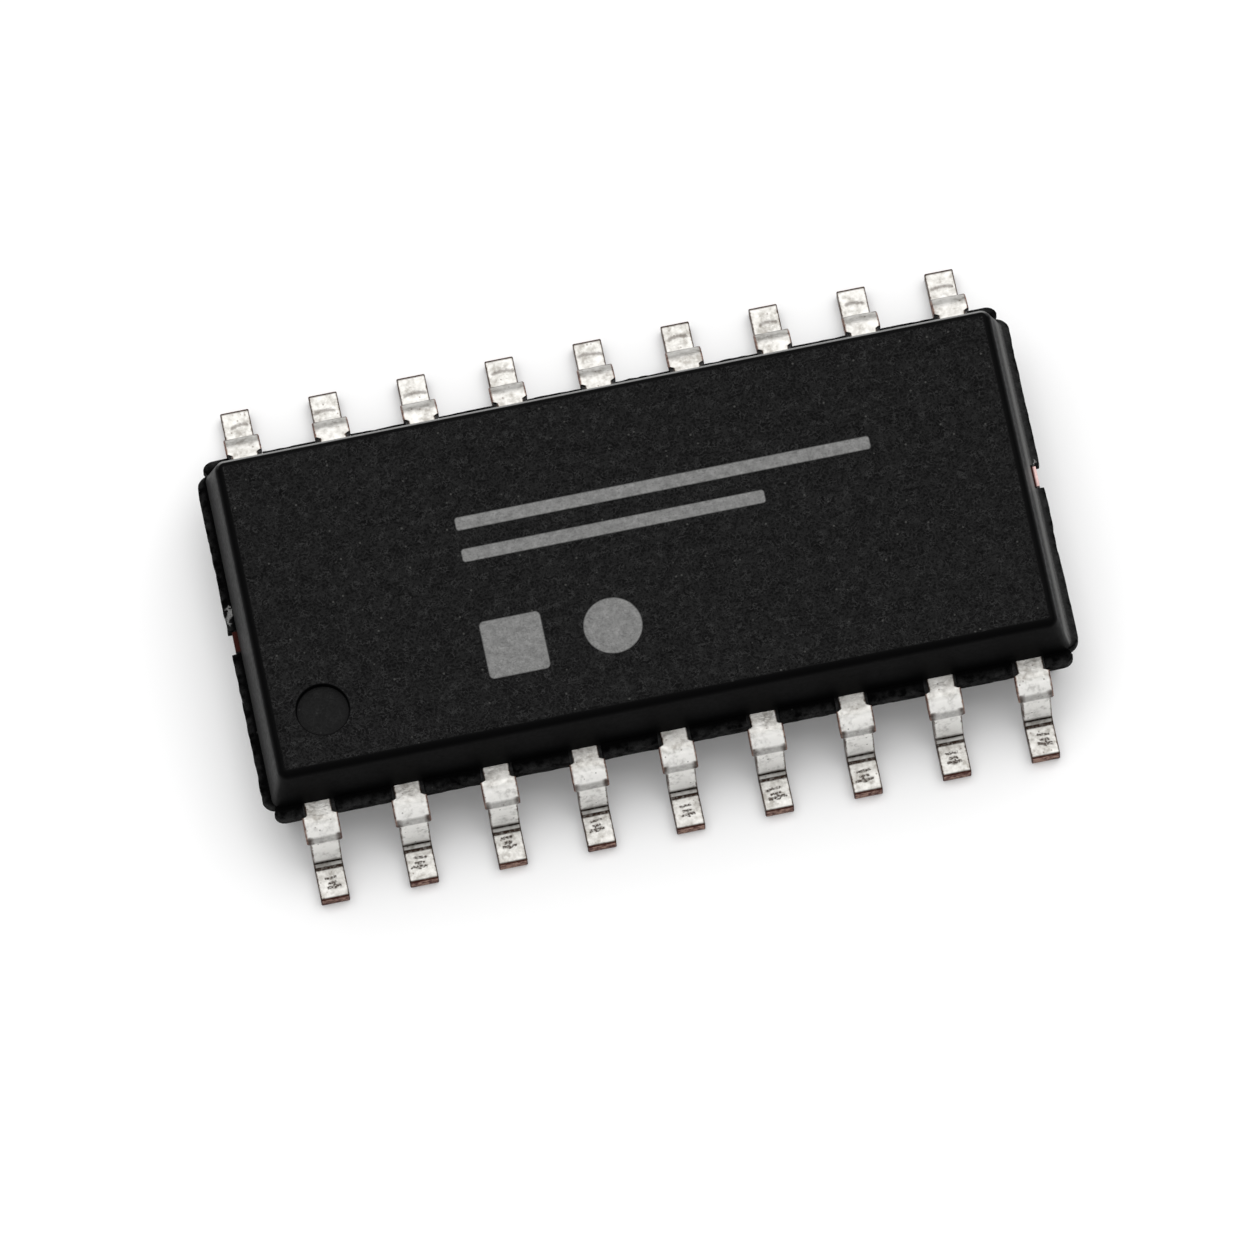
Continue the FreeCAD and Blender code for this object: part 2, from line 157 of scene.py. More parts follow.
class StageSettings(bpy.types.PropertyGroup):
    """The camera and the studio light."""

    azimuth: angle_degrees("Azimuth", "Turn of the camera about the vertical", -7.0)
    elevation: angle_degrees("Elevation", "Height of the camera above level", 70.0)
    roll: angle_degrees("Roll", "Turn of the picture", -4.70)
    distance: length_mm("Distance", "From the camera to the point it faces", 270.0)
    target_height: length_mm("Target height", "Height of that point", 0.9)
    shift_right: length_mm("Shift right", "Picture's middle right of that point", -0.142, -10.0)
    shift_up: length_mm("Shift up", "Picture's middle above that point", -0.854, -10.0)
    frame_width: length_mm("Frame width", "Width of the picture at that point", 17.608)
    sensor_mm: plain_number("Sensor", "Width of the sensor in millimetres", 36.0)
    key_watts: plain_number("Key power", "Power of the softbox in watts", 5.7)
    key_size: length_mm("Key size", "Width of the softbox", 1100.0)
    key_distance: length_mm("Key distance", "From the object to the softbox", 800.0)
    key_azimuth: angle_degrees("Key azimuth", "Direction of the softbox", 165.0)
    key_elevation: angle_degrees("Key elevation", "Height of the softbox above level", 62.0)
    zenith: plain_number("Zenith", "Brightness overhead", 0.72)
    horizon: plain_number("Horizon", "Brightness at level", 0.28)
    floor_reach: length_mm("Floor reach", "Half width of the floor", 1500.0)
    floor_glow: plain_number("Floor glow", "Glow the camera sees", 0.07)


# Rectangles with round corners, in millimetres: middle, half size and corner radius
MARK_FIELDS = (
    ((0.55, 0.78), (2.95, 0.085), 0.03),
    ((-0.25, 0.30), (2.15, 0.085), 0.03),
    ((-1.95, -1.15), (0.42, 0.42), 0.06),
    ((-0.55, -1.15), (0.40, 0.40), 0.40),
)
# Places where a flake of the rim broke off, on its upper side
CHIPS = (
    ((-5.740, 0.46), (0.022, 0.070), 0.015),
    ((-5.775, 0.33), (0.016, 0.060), 0.015),
    ((-5.735, -0.10), (0.012, 0.030), 0.015),
    ((5.760, 0.31), (0.014, 0.022), 0.015),
)
# Strokes of a test probe's print and the line pressed by it, from the print's middle
PRINT_STROKES = (
    ((0.0, 0.0), (0.105, 0.011), 0.005),
    ((-0.010, 0.026), (0.010, 0.028), 0.005),
    ((0.010, 0.060), (0.060, 0.009), 0.005),
    ((0.0, -0.018), (0.018, 0.011), 0.005),
    ((0.020, 0.135), (0.085, 0.007), 0.005),
)
PRESSED_LINE = (((0.0, 0.012), (0.135, 0.010), 0.010),)

# How a print varies from lead to lead: turn in radians, moves in millimetres, and stretch
PRINT_TURN = 0.12
PRINT_MOVE_ACROSS = 0.03
PRINT_MOVE_ALONG = 0.04
PRINT_STRETCH = (0.8, 1.25)

# Wavelengths in millimetres of the plate's unevenness, the longest first
PLATE_WAVES = (0.42, 0.23, 0.13)

# Bands across a lead, in millimetres from its tip. A band of painted shade at a bend also has its softness
# and strength
TIP_LINE = (0.020, 0.044)
BEND_SHADE_BANDS = (
    ((0.450, 0.530), 0.02, 1.0),
    ((0.655, 0.700), 0.03, 1.0),
    ((1.270, 1.330), 0.03, 0.55),
)
STUB_BLOTS = (1.262, 1.350)
# Where the riser and the bend above it are less metallic and painted bright as painted light
SATIN_PAINTED_RISER = (0.78, 1.46)

# Where the +X tie bar turns from tarnished to freshly cut, in millimetres along the body
FRESH_CUT = (5.715, 5.740)

# Roughness of each finish at the lows and the highs of its noise, and its bumps' depth in millimetres
ROUGHNESS = {
    "compound": (0.48, 0.66),
    "tin": (0.34, 0.46),
    "copper": (0.30, 0.50),
    "gold": (0.16, 0.28),
    "silicon": (0.12, 0.22),
    "adhesive": (0.45, 0.70),
}
BUMP_DEPTHS = {
    "compound": 0.007,
    "tin": 0.0024,
    "copper": 0.002,
    "gold": 0.0008,
    "adhesive": 0.003,
}
# Scales of the fine and the slow noise of each finish
GRAIN_SCALES = {
    "face": (16.0, 4.2),
    "torn": (34.0, 9.0),
    "plate": (19.0, 5.5),
    "scratch": (50.0, 16.0),
    "copper": (30.0, 5.0),
    "gold": (60.0, 12.0),
    "silicon": (45.0, 8.0),
    "adhesive": (70.0, 15.0),
}
# Scale of the cells that hold specks, a speck's radius in its cell, and the share of cells with one
SPECK_CELLS = {
    "face": (13.0, 0.26, 0.05),
    "pits": (17.0, 0.30, 0.10),
}

# Values stored at the points of the moulded body, and what they are on its face, on the edges of its marks,
# black like its smooth walls and a ring of painted shade, and on its mark floors
BODY_VALUES = ("rim", "grain", "tone")
FACE_VALUES = (0.0, 1.0, 0.40)
SHADED_RIM_VALUES = (0.0, 0.0, 0.0)
FLOOR_VALUES = (0.0, 0.25, 0.28)

# Tones of painted highlights: on the upper wall of the +X end, from the rim upwards, and on the far rounded
# edge
RIGHT_WALL_HIGHLIGHTS = (1.5, 1.5, 1.4, 1.1, 0.3, 0.0)
FAR_EDGE_HIGHLIGHT = 1.7

# How squarely a wall has to face along the body to get the end walls' painted light
LIT_END_FACING = 0.7

# Values stored at the points of a lead, and what "edge" is where a face begins to round off
LEAD_VALUES = ("edge", "stub", "cut", "from_side", "from_tip", "print_x", "print_y", "far")
EDGE_START = 0.3

# Seeds of the random draws
TEAR_SEED = 7
ROUGH_SEED = 11
LEAD_SEED = 100

# Steps in millimetres of the two wanderings whose product is the tear in the rim's edge
TEAR_STEPS = (0.09, 0.50)

# Heights of a direction between which the room turns from its level brightness to that overhead
ROOM_FADE = (0.18, 0.52)

# Distances in metres under which points of a mesh are merged, and a place counts as at a lead's knee
MERGE_DISTANCE = 1e-8
AT_KNEE = 1e-7

# Angle over which an edge between two faces stays sharp
SHARP_ANGLE = math.radians(38)


# Meshes

def new_object(name, data):
    """A new object in the scene."""
    thing = bpy.data.objects.new(name, data)
    bpy.context.scene.collection.objects.link(thing)
    return thing


def rounded_walk(x_shares, y_shares, corner_steps):
    """Once round a rectangle with round corners, anticlockwise from its +X side.

    Rows of (x share, y share, x out, y out). A side runs one share through the given values between
    -1 and 1 and faces one way; a corner keeps both shares and turns its outward direction a quarter.
    """
    turns = np.linspace(0.0, math.pi / 2, corner_steps)
    rows = []
    for quarter in range(4):
        shares = x_shares if quarter % 2 else y_shares
        spin = np.linalg.matrix_power(np.array([[0.0, -1.0], [1.0, 0.0]]), quarter)
        side = np.stack([np.ones_like(shares), shares], axis=1) @ spin.T
        side_out = np.tile(spin @ (1.0, 0.0), (len(shares), 1))
        corner = np.tile(spin @ (1.0, 1.0), (corner_steps, 1))
        angles = turns + quarter * math.pi / 2
        corner_out = np.stack([np.cos(angles), np.sin(angles)], axis=1)
        rows += [np.hstack([side, side_out]), np.hstack([corner, corner_out])]
    return np.vstack(rows)


class Skin:
    """Grids of points that build up to one closed mesh, with named values at each point."""

    def __init__(self, *value_names):
        self.names = value_names
        self.points = []
        self.values = []
        self.faces = []
        self.count = 0

    def add_points(self, grid, values):
        """Stores a grid of rows and columns and returns the number of its first point."""
        start = self.count
        flat = grid.reshape(-1, 3)
        self.points.append(flat)
        self.values.append(np.broadcast_to(values, grid.shape[:-1] + (len(self.names),))
                           .reshape(-1, len(self.names)))
        self.count += len(flat)
        return start

    def tube(self, grid, values, flip=False):
        """Joins closed rings, one a row, by quads. Faces point out where rings turn anticlockwise upwards."""
        start = self.add_points(grid, values)
        rows, columns = grid.shape[:2]
        first = start + np.arange(rows * columns).reshape(rows, columns)
        after = np.roll(first, -1, axis=1)
        quads = np.stack([first[:-1], after[:-1], after[1:], first[1:]], axis=-1).reshape(-1, 4)
        self.faces += (quads[:, ::-1] if flip else quads).tolist()
        return first

    def cap(self, ring, flip=False):
        """Closes a flat ring by one face."""
        self.faces.append((ring[::-1] if flip else ring).tolist())

    def fan(self, ring, centre, values, flip=False):
        """Closes a ring by triangles to a point in its middle."""
        pole = self.add_points(np.asarray(centre, float).reshape(1, 1, 3), values)
        triangles = np.stack([ring, np.roll(ring, -1), np.full(len(ring), pole)], axis=-1)
        self.faces += (triangles[:, ::-1] if flip else triangles).tolist()

    def finish(self, name):
        """Makes the mesh object, with doubles merged and sharp edges kept sharp."""
        mesh = bpy.data.meshes.new(name)
        mesh.from_pydata(np.vstack(self.points).tolist(), [], self.faces)
        values = np.vstack(self.values)
        for index, title in enumerate(self.names):
            layer = mesh.attributes.new(title, "FLOAT", "POINT")
            layer.data.foreach_set("value", values[:, index].astype(np.float32))
        work = bmesh.new()
        work.from_mesh(mesh)
        bmesh.ops.remove_doubles(work, verts=work.verts, dist=MERGE_DISTANCE)
        work.to_mesh(mesh)
        work.free()
        mesh.polygons.foreach_set("use_smooth", [True] * len(mesh.polygons))
        mesh.set_sharp_from_angle(angle=SHARP_ANGLE)
        mesh.update()
        return new_object(name, mesh)


def smooth_noise(rng, positions, step):
    """Random values between 0 and 1 at even steps, joined by straight lines, read at positions."""
    low, high = positions.min(), positions.max()
    knots = np.arange(low - step, high + 2 * step, step)
    return np.interp(positions, knots, rng.random(len(knots)))


def dress(piece, material, node):
    """Gives a new piece its material, in a slot, and its body, and hides the node that it stands for."""
    piece.data.materials.append(material)
    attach(piece, "root")
    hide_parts(node)


# Leads

def pin_place(number, sizes):
    """A pin's place along the body and the side it is on. Pins run along -Y from -X, then back."""
    per_side = sizes.pins_per_side
    place = number if number <= per_side else 2 * per_side + 1 - number
    return (place - (per_side + 1) / 2) * sizes.spacing, (-1 if number <= per_side else 1)


def node_points(name):
    """The corner points of a node's mesh as an array."""
    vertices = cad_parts[name].data.vertices
    points = np.empty(len(vertices) * 3, np.float32)
    vertices.foreach_get("co", points)
    return points.reshape(-1, 3).astype(float)


def finger_tip(name, knee):
    """Middle of a finger's end face: the mean of the inner corners that lie farthest from the knee."""
    points = node_points(name)
    past_knee, same_place = 0.05 * MM, 0.005 * MM
    inner = points[np.abs(points[:, 1]) < abs(knee[1]) - past_knee][:, :2]
    reach = np.linalg.norm(inner - knee, axis=1)
    return inner[reach > reach.max() - same_place].mean(axis=0)


class LeadLine:
    """The middle line of a lead, by its length measured outwards from the body's wall.

    Outside the wall it is level over the shoulder, turns down through the riser angle on a circle,
    runs straight down the riser, turns back on an equal circle and is level over the foot. Inside it
    is level as far as the knee, and then runs straight to the finger's tip.
    """

    def __init__(self, sizes, parting, tip):
        self.sizes = sizes
        self.parting = parting
        self.tip = np.asarray(tip)
        self.radius = sizes.bend_radius + sizes.sheet / 2
        self.turn = sizes.riser_angle
        drop = 2 * self.radius * (1 - math.cos(self.turn))
        self.riser = (parting - sizes.sheet / 2 - drop) / math.sin(self.turn)
        self.bend_start = sizes.shoulder
        self.bend_end = self.bend_start + self.radius * self.turn
        self.riser_end = self.bend_end + self.riser
        self.foot_start = self.riser_end + self.radius * self.turn
        self.end = self.foot_start + sizes.foot
        self.knee = np.array([0.0, -sizes.knee_depth])
        self.finger = np.linalg.norm(self.tip - self.knee)
        self.start = -sizes.knee_depth - self.finger

    def stations(self):
        """The lengths at which a section is placed, closer together where the line or width changes."""
        sizes = self.sizes
        rounding = sizes.tip_radius * (1 - np.sin(np.linspace(0, math.pi / 2, 4)))
        past_rounding = 5 * sizes.tip_radius
        spans = [
            self.start + rounding,
            np.linspace(self.start + past_rounding, -sizes.knee_depth, 6),
            np.linspace(-sizes.knee_depth, sizes.stub_start - sizes.stub_taper, 12),
            np.linspace(sizes.stub_start - sizes.stub_taper, self.bend_start, 5),
            np.linspace(self.bend_start, self.bend_end, 17),
            np.linspace(self.bend_end, self.bend_end + sizes.stub_taper, 4),
            np.linspace(self.bend_end + sizes.stub_taper, self.riser_end, 12),
            np.linspace(self.riser_end, self.foot_start, 17),
            np.linspace(self.foot_start, self.end - 2 * sizes.tip_radius, 28),
            self.end - rounding,
        ]
        return np.unique(np.round(np.concatenate(spans), 9))

    def headings(self, length):
        """The angle turned on each of the two bends, at each length."""
        down = np.clip((length - self.bend_start) / self.radius, 0, self.turn)
        back = np.clip((length - self.riser_end) / self.radius, 0, self.turn)
        return down, back

    def middle(self, length):
        """Points (across, out, up) of the line, added up from its straight runs and its two arcs."""
        down, back = self.headings(length)
        riser = np.clip(length - self.bend_end, 0, self.riser)
        turn, radius = self.turn, self.radius
        out = (np.minimum(length, self.bend_start) + radius * np.sin(down) + riser * math.cos(turn)
               + radius * (math.sin(turn) - np.sin(turn - back)) + np.maximum(length - self.foot_start, 0))
        up = (self.parting - radius * (1 - np.cos(down)) - riser * math.sin(turn)
              - radius * (np.cos(turn - back) - math.cos(turn)))
        inside = np.clip((-self.sizes.knee_depth - length) / self.finger, 0, 1)
        across = self.tip[0] * inside
        out = np.where(inside > 0, self.knee[1] + (self.tip[1] - self.knee[1]) * inside, out)
        return np.stack([across, out, up], axis=1)

    def directions(self, length):
        """Unit vectors along the line and square to its upper face, the knee halfway between its runs."""
        down, back = self.headings(length)
        heading = down - back
        zero = np.zeros_like(heading)
        along = np.stack([zero, np.cos(heading), -np.sin(heading)], axis=1)
        upward = np.stack([zero, np.sin(heading), np.cos(heading)], axis=1)
        finger = np.append((self.knee - self.tip) / self.finger, 0.0)
        beyond = -self.sizes.knee_depth - length
        share = np.select([beyond > AT_KNEE, beyond > -AT_KNEE], [1.0, 0.5], 0.0)[:, None]
        along = along * (1 - share) + finger * share
        return along / np.linalg.norm(along, axis=1, keepdims=True), upward

    def widths(self, length):
        """The stamped width: finger, neck, stub and foot, joined by straight tapers."""
        sizes = self.sizes
        places = [self.start, -sizes.knee_depth, sizes.stub_start - sizes.stub_taper, sizes.stub_start,
                  self.bend_end, self.bend_end + sizes.stub_taper]
        values = [sizes.finger_width, sizes.neck_width, sizes.neck_width, sizes.stub_width,
                  sizes.stub_width, sizes.foot_width]
        return np.interp(length, places, values)


def plated_height(across, from_tip, sizes, rng):
    """How far the upper face departs from flat: the sum of some slow waves of random phase.

    A wave is the product of two sines along two slanted directions, and is the lower the shorter it is.
    """
    height = np.zeros_like(across)
    for wavelength in PLATE_WAVES:
        phase = rng.random(2) * 2 * math.pi
        skew = rng.uniform(-0.5, 0.5)
        first = np.sin(2 * math.pi * (across + skew * from_tip) / (wavelength * MM) + phase[0])
        second = np.sin(2 * math.pi * (from_tip - skew * across) / (wavelength * MM) + phase[1])
        height += sizes.waviness * first * second * wavelength / PLATE_WAVES[0]
    return height


def print_place(across, from_tip, sizes, rng):
    """Coordinates from a probe's print, in millimetres, turned, stretched and mirrored at random."""
    turn = rng.uniform(-PRINT_TURN, PRINT_TURN)
    ahead = across / MM - rng.uniform(-PRINT_MOVE_ACROSS, PRINT_MOVE_ACROSS)
    ahead = ahead * rng.uniform(*PRINT_STRETCH) * rng.choice((-1, 1))
    aside = (from_tip - sizes.dent_from_tip) / MM - rng.uniform(-PRINT_MOVE_ALONG, PRINT_MOVE_ALONG)
    return ahead * math.cos(turn) + aside * math.sin(turn), aside * math.cos(turn) - ahead * math.sin(turn)


def lead_values(line, length, section, across, inset, side, rng):
    """What a lead's finish reads at each point, in the order of LEAD_VALUES, lengths in millimetres.

    An edge is a sheared side, a stub the extra width over the foot's, and a cut the rounding at an end.
    """
    sizes = line.sizes
    widths = line.widths(length)[:, None]
    at_side = np.isclose(np.abs(section[:, 0]), 1)
    edge = (EDGE_START + (1 - EDGE_START) * np.abs(section[:, 2])) * at_side
    stub = np.clip((widths - sizes.foot_width) / (sizes.stub_width - sizes.foot_width), 0, 1)
    cut = inset[:, None] / sizes.tip_radius
    from_side = (widths / 2 - np.abs(across)) / MM
    from_tip = (line.end - length)[:, None]
    print_x, print_y = print_place(across, from_tip, sizes, rng)
    columns = (edge, stub, cut, from_side, from_tip / MM, print_x, print_y, max(side, 0))
    return np.stack([np.broadcast_to(column, across.shape) for column in columns], axis=-1)


def lead_skin(number, sizes, parting, wall):
    """One lead: a rounded rectangle of sheet thickness and changing width, carried along its line.

    A point is the line's middle, plus the section's share of the half width and half thickness, plus
    the edge radius along the section's outward direction. The radius shrinks on a quarter circle
    at both ends, which rounds the cut faces. The plate's unevenness fades out towards the ends.
    """
    x, side = pin_place(number, sizes)
    knee = np.array([x, side * (wall - sizes.knee_depth)])
    tip = finger_tip(f"lead_{number:02d}", knee)
    line = LeadLine(sizes, parting, ((tip[0] - x) * side, side * tip[1] - wall))
    length = line.stations()
    section = rounded_walk(np.linspace(-1, 1, 19)[1:-1], np.linspace(-1, 1, 5)[1:-1], 5)
    end_gap = np.minimum(length - line.start, line.end - length)
    shrink = np.clip(sizes.tip_radius - end_gap, 0, sizes.tip_radius)
    inset = sizes.tip_radius - np.sqrt(sizes.tip_radius ** 2 - shrink ** 2)
    radius = (sizes.edge_radius - inset)[:, None]
    half_width = (line.widths(length) / 2 - sizes.edge_radius)[:, None]
    half_sheet = sizes.sheet / 2 - sizes.edge_radius
    across = half_width * section[:, 0] + radius * section[:, 2]
    rng = np.random.default_rng(LEAD_SEED + number)
    fade = np.clip(end_gap / (1.5 * sizes.tip_radius), 0, 1)[:, None] * np.clip(section[:, 3], 0, 1)
    waves = plated_height(across, (line.end - length)[:, None], sizes, rng)
    up = half_sheet * section[:, 1] + radius * section[:, 3] + waves * fade
    along, upward = line.directions(length)
    sideways = np.cross(upward, along)
    local = (line.middle(length)[:, None, :] + across[..., None] * sideways[:, None, :]
             + up[..., None] * upward[:, None, :])
    points = np.stack([x + side * local[..., 0], side * (wall + local[..., 1]), local[..., 2]], axis=-1)
    skin = Skin(*LEAD_VALUES)
    rings = skin.tube(points, lead_values(line, length, section, across, inset, side, rng))
    skin.cap(rings[0], flip=True)
    skin.cap(rings[-1])
    return skin.finish(f"lead_skin_{number:02d}")


# Moulded body

class BodyForm:
    """The moulded block's levels and half sizes, read from its box and its sizes."""

    def __init__(self, sizes, leads):
        self.sizes = sizes
        self.leads = leads
        self.half_length = BODY_BOX[1].x - sizes.end_flash
        self.half_width = BODY_BOX[1].y - sizes.side_flash
        self.low = BODY_BOX[0].z
        self.high = BODY_BOX[1].z
        self.parting = LEAD_BOX[1].z - leads.sheet / 2

    def draft(self, upward):
        """The slope from upright of the walls above or below the parting plane."""
        return self.sizes.upper_draft if upward else self.sizes.lower_draft

    def wall_shift(self, z):
        """How far the drafted wall lies inside its widest line at a height."""
        return abs(z - self.parting) * math.tan(self.draft(z > self.parting))

    def walk(self):
        """The steps round the block, closer together at the clefts and the notches."""
        sizes, leads = self.sizes, self.leads
        straight_x = self.half_length - sizes.corner_radius
        straight_y = self.half_width - sizes.corner_radius
        hair, clear = 0.003 * MM, 0.012 * MM
        cleft = leads.neck_width / 2 + sizes.cleft
        pins = (np.arange(leads.pins_per_side) - (leads.pins_per_side - 1) / 2) * leads.spacing
        edges = [pins + turn * cleft + step for turn in (-1, 1) for step in (-hair, hair)]
        even = np.linspace(-straight_x, straight_x, 201)[1:-1]
        kept = np.abs(np.abs(even[:, None] - pins) - cleft).min(axis=1) > clear
        x_values = np.sort(np.concatenate([even[kept], *edges, [0.0]]))
        notch = np.array([middle + turn * sizes.notch / 2 + step for middle in (0.0, sizes.tie_offset)
                          for turn in (-1, 1) for step in (-hair, hair)])
        y_values = np.sort(np.concatenate([np.linspace(-straight_y, straight_y, 98)[1:-1], notch]))
        return rounded_walk(np.unique(np.round(x_values, 9)) / straight_x,
                            np.unique(np.round(y_values, 9)) / straight_y, 11)

    def ring(self, walk, shift, inset, z):
        """One ring: the corner centres moved in by the shift, and the rest along the outward direction."""
        sizes = self.sizes
        radius = sizes.corner_radius - inset
        x = walk[:, 0] * (self.half_length - sizes.corner_radius - shift) + radius * walk[:, 2]
        y = walk[:, 1] * (self.half_width - sizes.corner_radius - shift) + radius * walk[:, 3]
        return np.stack([x, y, np.broadcast_to(z, x.shape)], axis=-1)

    def flash_width(self, walk):
        """How far the rim stands out at each step: its nominal outline, less a torn edge.

        On a long side it ends on a quarter circle and is open at the clefts; on a short end it is cut
        off at the corners and open at the notch. The tear is the product of two random wanderings.
        """
        sizes, leads = self.sizes, self.leads
        base = self.ring(walk, 0.0, 0.0, 0.0)
        x, y = base[:, 0], np.abs(base[:, 1])
        from_tie = np.abs(base[:, 1] - np.where(x > 0, sizes.tie_offset, 0))
        on_side = np.abs(walk[:, 3]) > np.abs(walk[:, 2])
        to_end = self.half_length - sizes.flash_gap - np.abs(x)
        lack = np.clip(sizes.flash_round - to_end, 0, sizes.flash_round)
        side = sizes.side_flash - sizes.flash_round + np.sqrt(sizes.flash_round ** 2 - lack ** 2)
        side = np.where(to_end > 0, side, 0)
        most = (leads.pins_per_side - 1) / 2
        nearest = np.clip(np.round(x / leads.spacing), -most, most) * leads.spacing
        side = np.where(np.abs(x - nearest) < leads.neck_width / 2 + sizes.cleft, 0, side)
        reach = self.half_width - sizes.corner_radius / 3
        end = sizes.end_flash * np.clip((reach - y) / sizes.flash_chamfer, 0, 1)
        end = np.where(from_tie < sizes.notch / 2, 0, end)
        width = np.where(on_side, side, end)
        rng = np.random.default_rng(TEAR_SEED)
        travel = np.cumsum(np.linalg.norm(base - np.roll(base, 1, axis=0), axis=1))
        short, long = (smooth_noise(rng, travel, step * MM) for step in TEAR_STEPS)
        return np.clip(width - sizes.flash_tear * short * long, 0, None) * (width > 0)

    def edge_arc(self, radius, upward):
        """Rows (shift, inset, height) of a rounded edge, from the drafted wall to the flat face.

        The circle touches both. Its middle lies one radius inside the face, and as far inside the
        wall as the draft at the touching point asks.
        """
        draft = self.draft(upward)
        angles = np.linspace(draft, math.pi / 2, 9)
        face = self.high if upward else self.low
        rise = abs(face - self.parting) - radius
        shift = (rise + radius * math.sin(draft)) * math.tan(draft)
        inset = radius * (math.cos(draft) - np.cos(angles))
        height = rise + radius * np.sin(angles)
        z = self.parting + (height if upward else -height)
        return [(shift, step, level) for step, level in zip(inset, z)]

    def wall_rows(self, start, stop, count):
        """Rows of a drafted wall between two heights."""
        return [(self.wall_shift(z), 0.0, z) for z in np.linspace(start, stop, count)]

    def flash_rows(self, width):
        """Rows across the rim: out under it, round its two outer edges, and back over it.

        Where the rim is open a row lies on the drafted wall. The upper side is uneven along the rim.
        """
        half = self.leads.sheet / 2
        edge = self.sizes.flash_edge
        turns = np.linspace(0, math.pi / 2, 5)
        reaches = [width * 0] + [np.clip(width - edge * (1 - math.sin(turn)), 0, None) for turn in turns]
        lifts = [0.0] + [edge * (1 - math.cos(turn)) for turn in turns]
        rng = np.random.default_rng(ROUGH_SEED)
        rough = -self.sizes.flash_uneven * smooth_noise(rng, np.arange(len(width)) * 1.0, 3.0)
        below, above = [], []
        for reach, lift in zip(reaches, lifts):
            shift = self.wall_shift(self.parting - half + lift)
            below.append((shift, -(reach + shift) * (reach > 0), self.parting - half + lift))
            shift = self.wall_shift(self.parting + half - lift)
            above.append((shift, -(reach + shift) * (reach > 0),
                          self.parting + half - lift + rough * (reach > 0)))
        return below, above[::-1]


def mark_profile(radius, depth, edge):
    """Rows (radius, depth) of a round sunk mark: a rounded rim, an upright wall, a rounded corner."""
    turns = np.linspace(0, math.pi / 2, 6)
    rim = [(radius + edge * (1 - math.sin(t)), edge * (1 - math.cos(t))) for t in turns]
    corner = [(radius - edge * (1 - math.cos(t)), depth - edge * (1 - math.sin(t))) for t in turns]
    floor = [(share * (radius - edge), depth) for share in (0.75, 0.4)]
    return rim + corner + floor


def sunk_face(skin, loop, centre, z, mark, inward, flip):
    """Fills a flat loop down to a round mark.

    Each point of the loop slides straight to a circle just outside the mark's rim in the direction of
    its middle, in steps that shrink; then the mark's own profile is turned about that middle.
    """
    clear = 0.006 * MM
    spokes = loop[:, :2] - centre
    unit = spokes / np.linalg.norm(spokes, axis=1, keepdims=True)
    rim = centre + unit * (mark[0][0] + clear)
    shares = 1 - (1 - np.linspace(0, 1, 10)) ** 1.4
    rows = [loop[:, :2] + (rim - loop[:, :2]) * share for share in shares]
    heights = [z] * len(rows)
    finish = [FACE_VALUES] * len(rows)
    for radius, depth in mark:
        rows.append(centre + unit * radius)
        heights.append(z + inward * depth)
        # The marks' edges and walls are black, a ring of painted shade round each mark
        finish.append(FLOOR_VALUES if depth >= mark[-1][1] else SHADED_RIM_VALUES)
    level = np.broadcast_to(np.array(heights)[:, None, None], (len(rows), len(loop), 1))
    grid = np.concatenate([np.stack(rows), level], axis=-1)
    rings = skin.tube(grid, np.array(finish)[:, None, :], flip)
    skin.fan(rings[-1], (*centre, heights[-1]), FLOOR_VALUES, flip)


def body_values(walk, width, counts):
    """The values of the body's rows, from the numbers of rows in the parts of its profile.

    The end walls are paler than the long ones as painted light, palest above the rim at the +X end as a
    painted highlight. The lower rows of the far rounded edge are pale too, as a painted highlight.
    """
    low_edge, lower, rim, upper, high_edge = counts
    first = low_edge + lower
    last = first + rim
    values = np.zeros((sum(counts), len(walk), len(BODY_VALUES)))
    values[first:last, :, 0] = width > 0
    values[[first, last - 1], :, 0] = 0.5 * (width > 0)
    # Painted light: walls facing along the body are paler, and the +X upper wall and the far rounded edge get
    # painted highlights
    lit_end = np.clip((np.abs(walk[:, 2]) - LIT_END_FACING) / (1 - LIT_END_FACING), 0, 1)
    lit_right = lit_end * (walk[:, 2] > 0)
    values[low_edge:first, :, 2] = lit_end
    values[last - 1, :, 2] = RIGHT_WALL_HIGHLIGHTS[0] * lit_right
    values[last:last + upper, :, 2] = lit_end - lit_right + np.outer(RIGHT_WALL_HIGHLIGHTS, lit_right)
    values[last + upper:last + upper + high_edge // 2 + 1, :, 2] = FAR_EDGE_HIGHLIGHT * np.clip(walk[:, 3], 0, 1)
    values[0] = values[-1] = FACE_VALUES
    return values


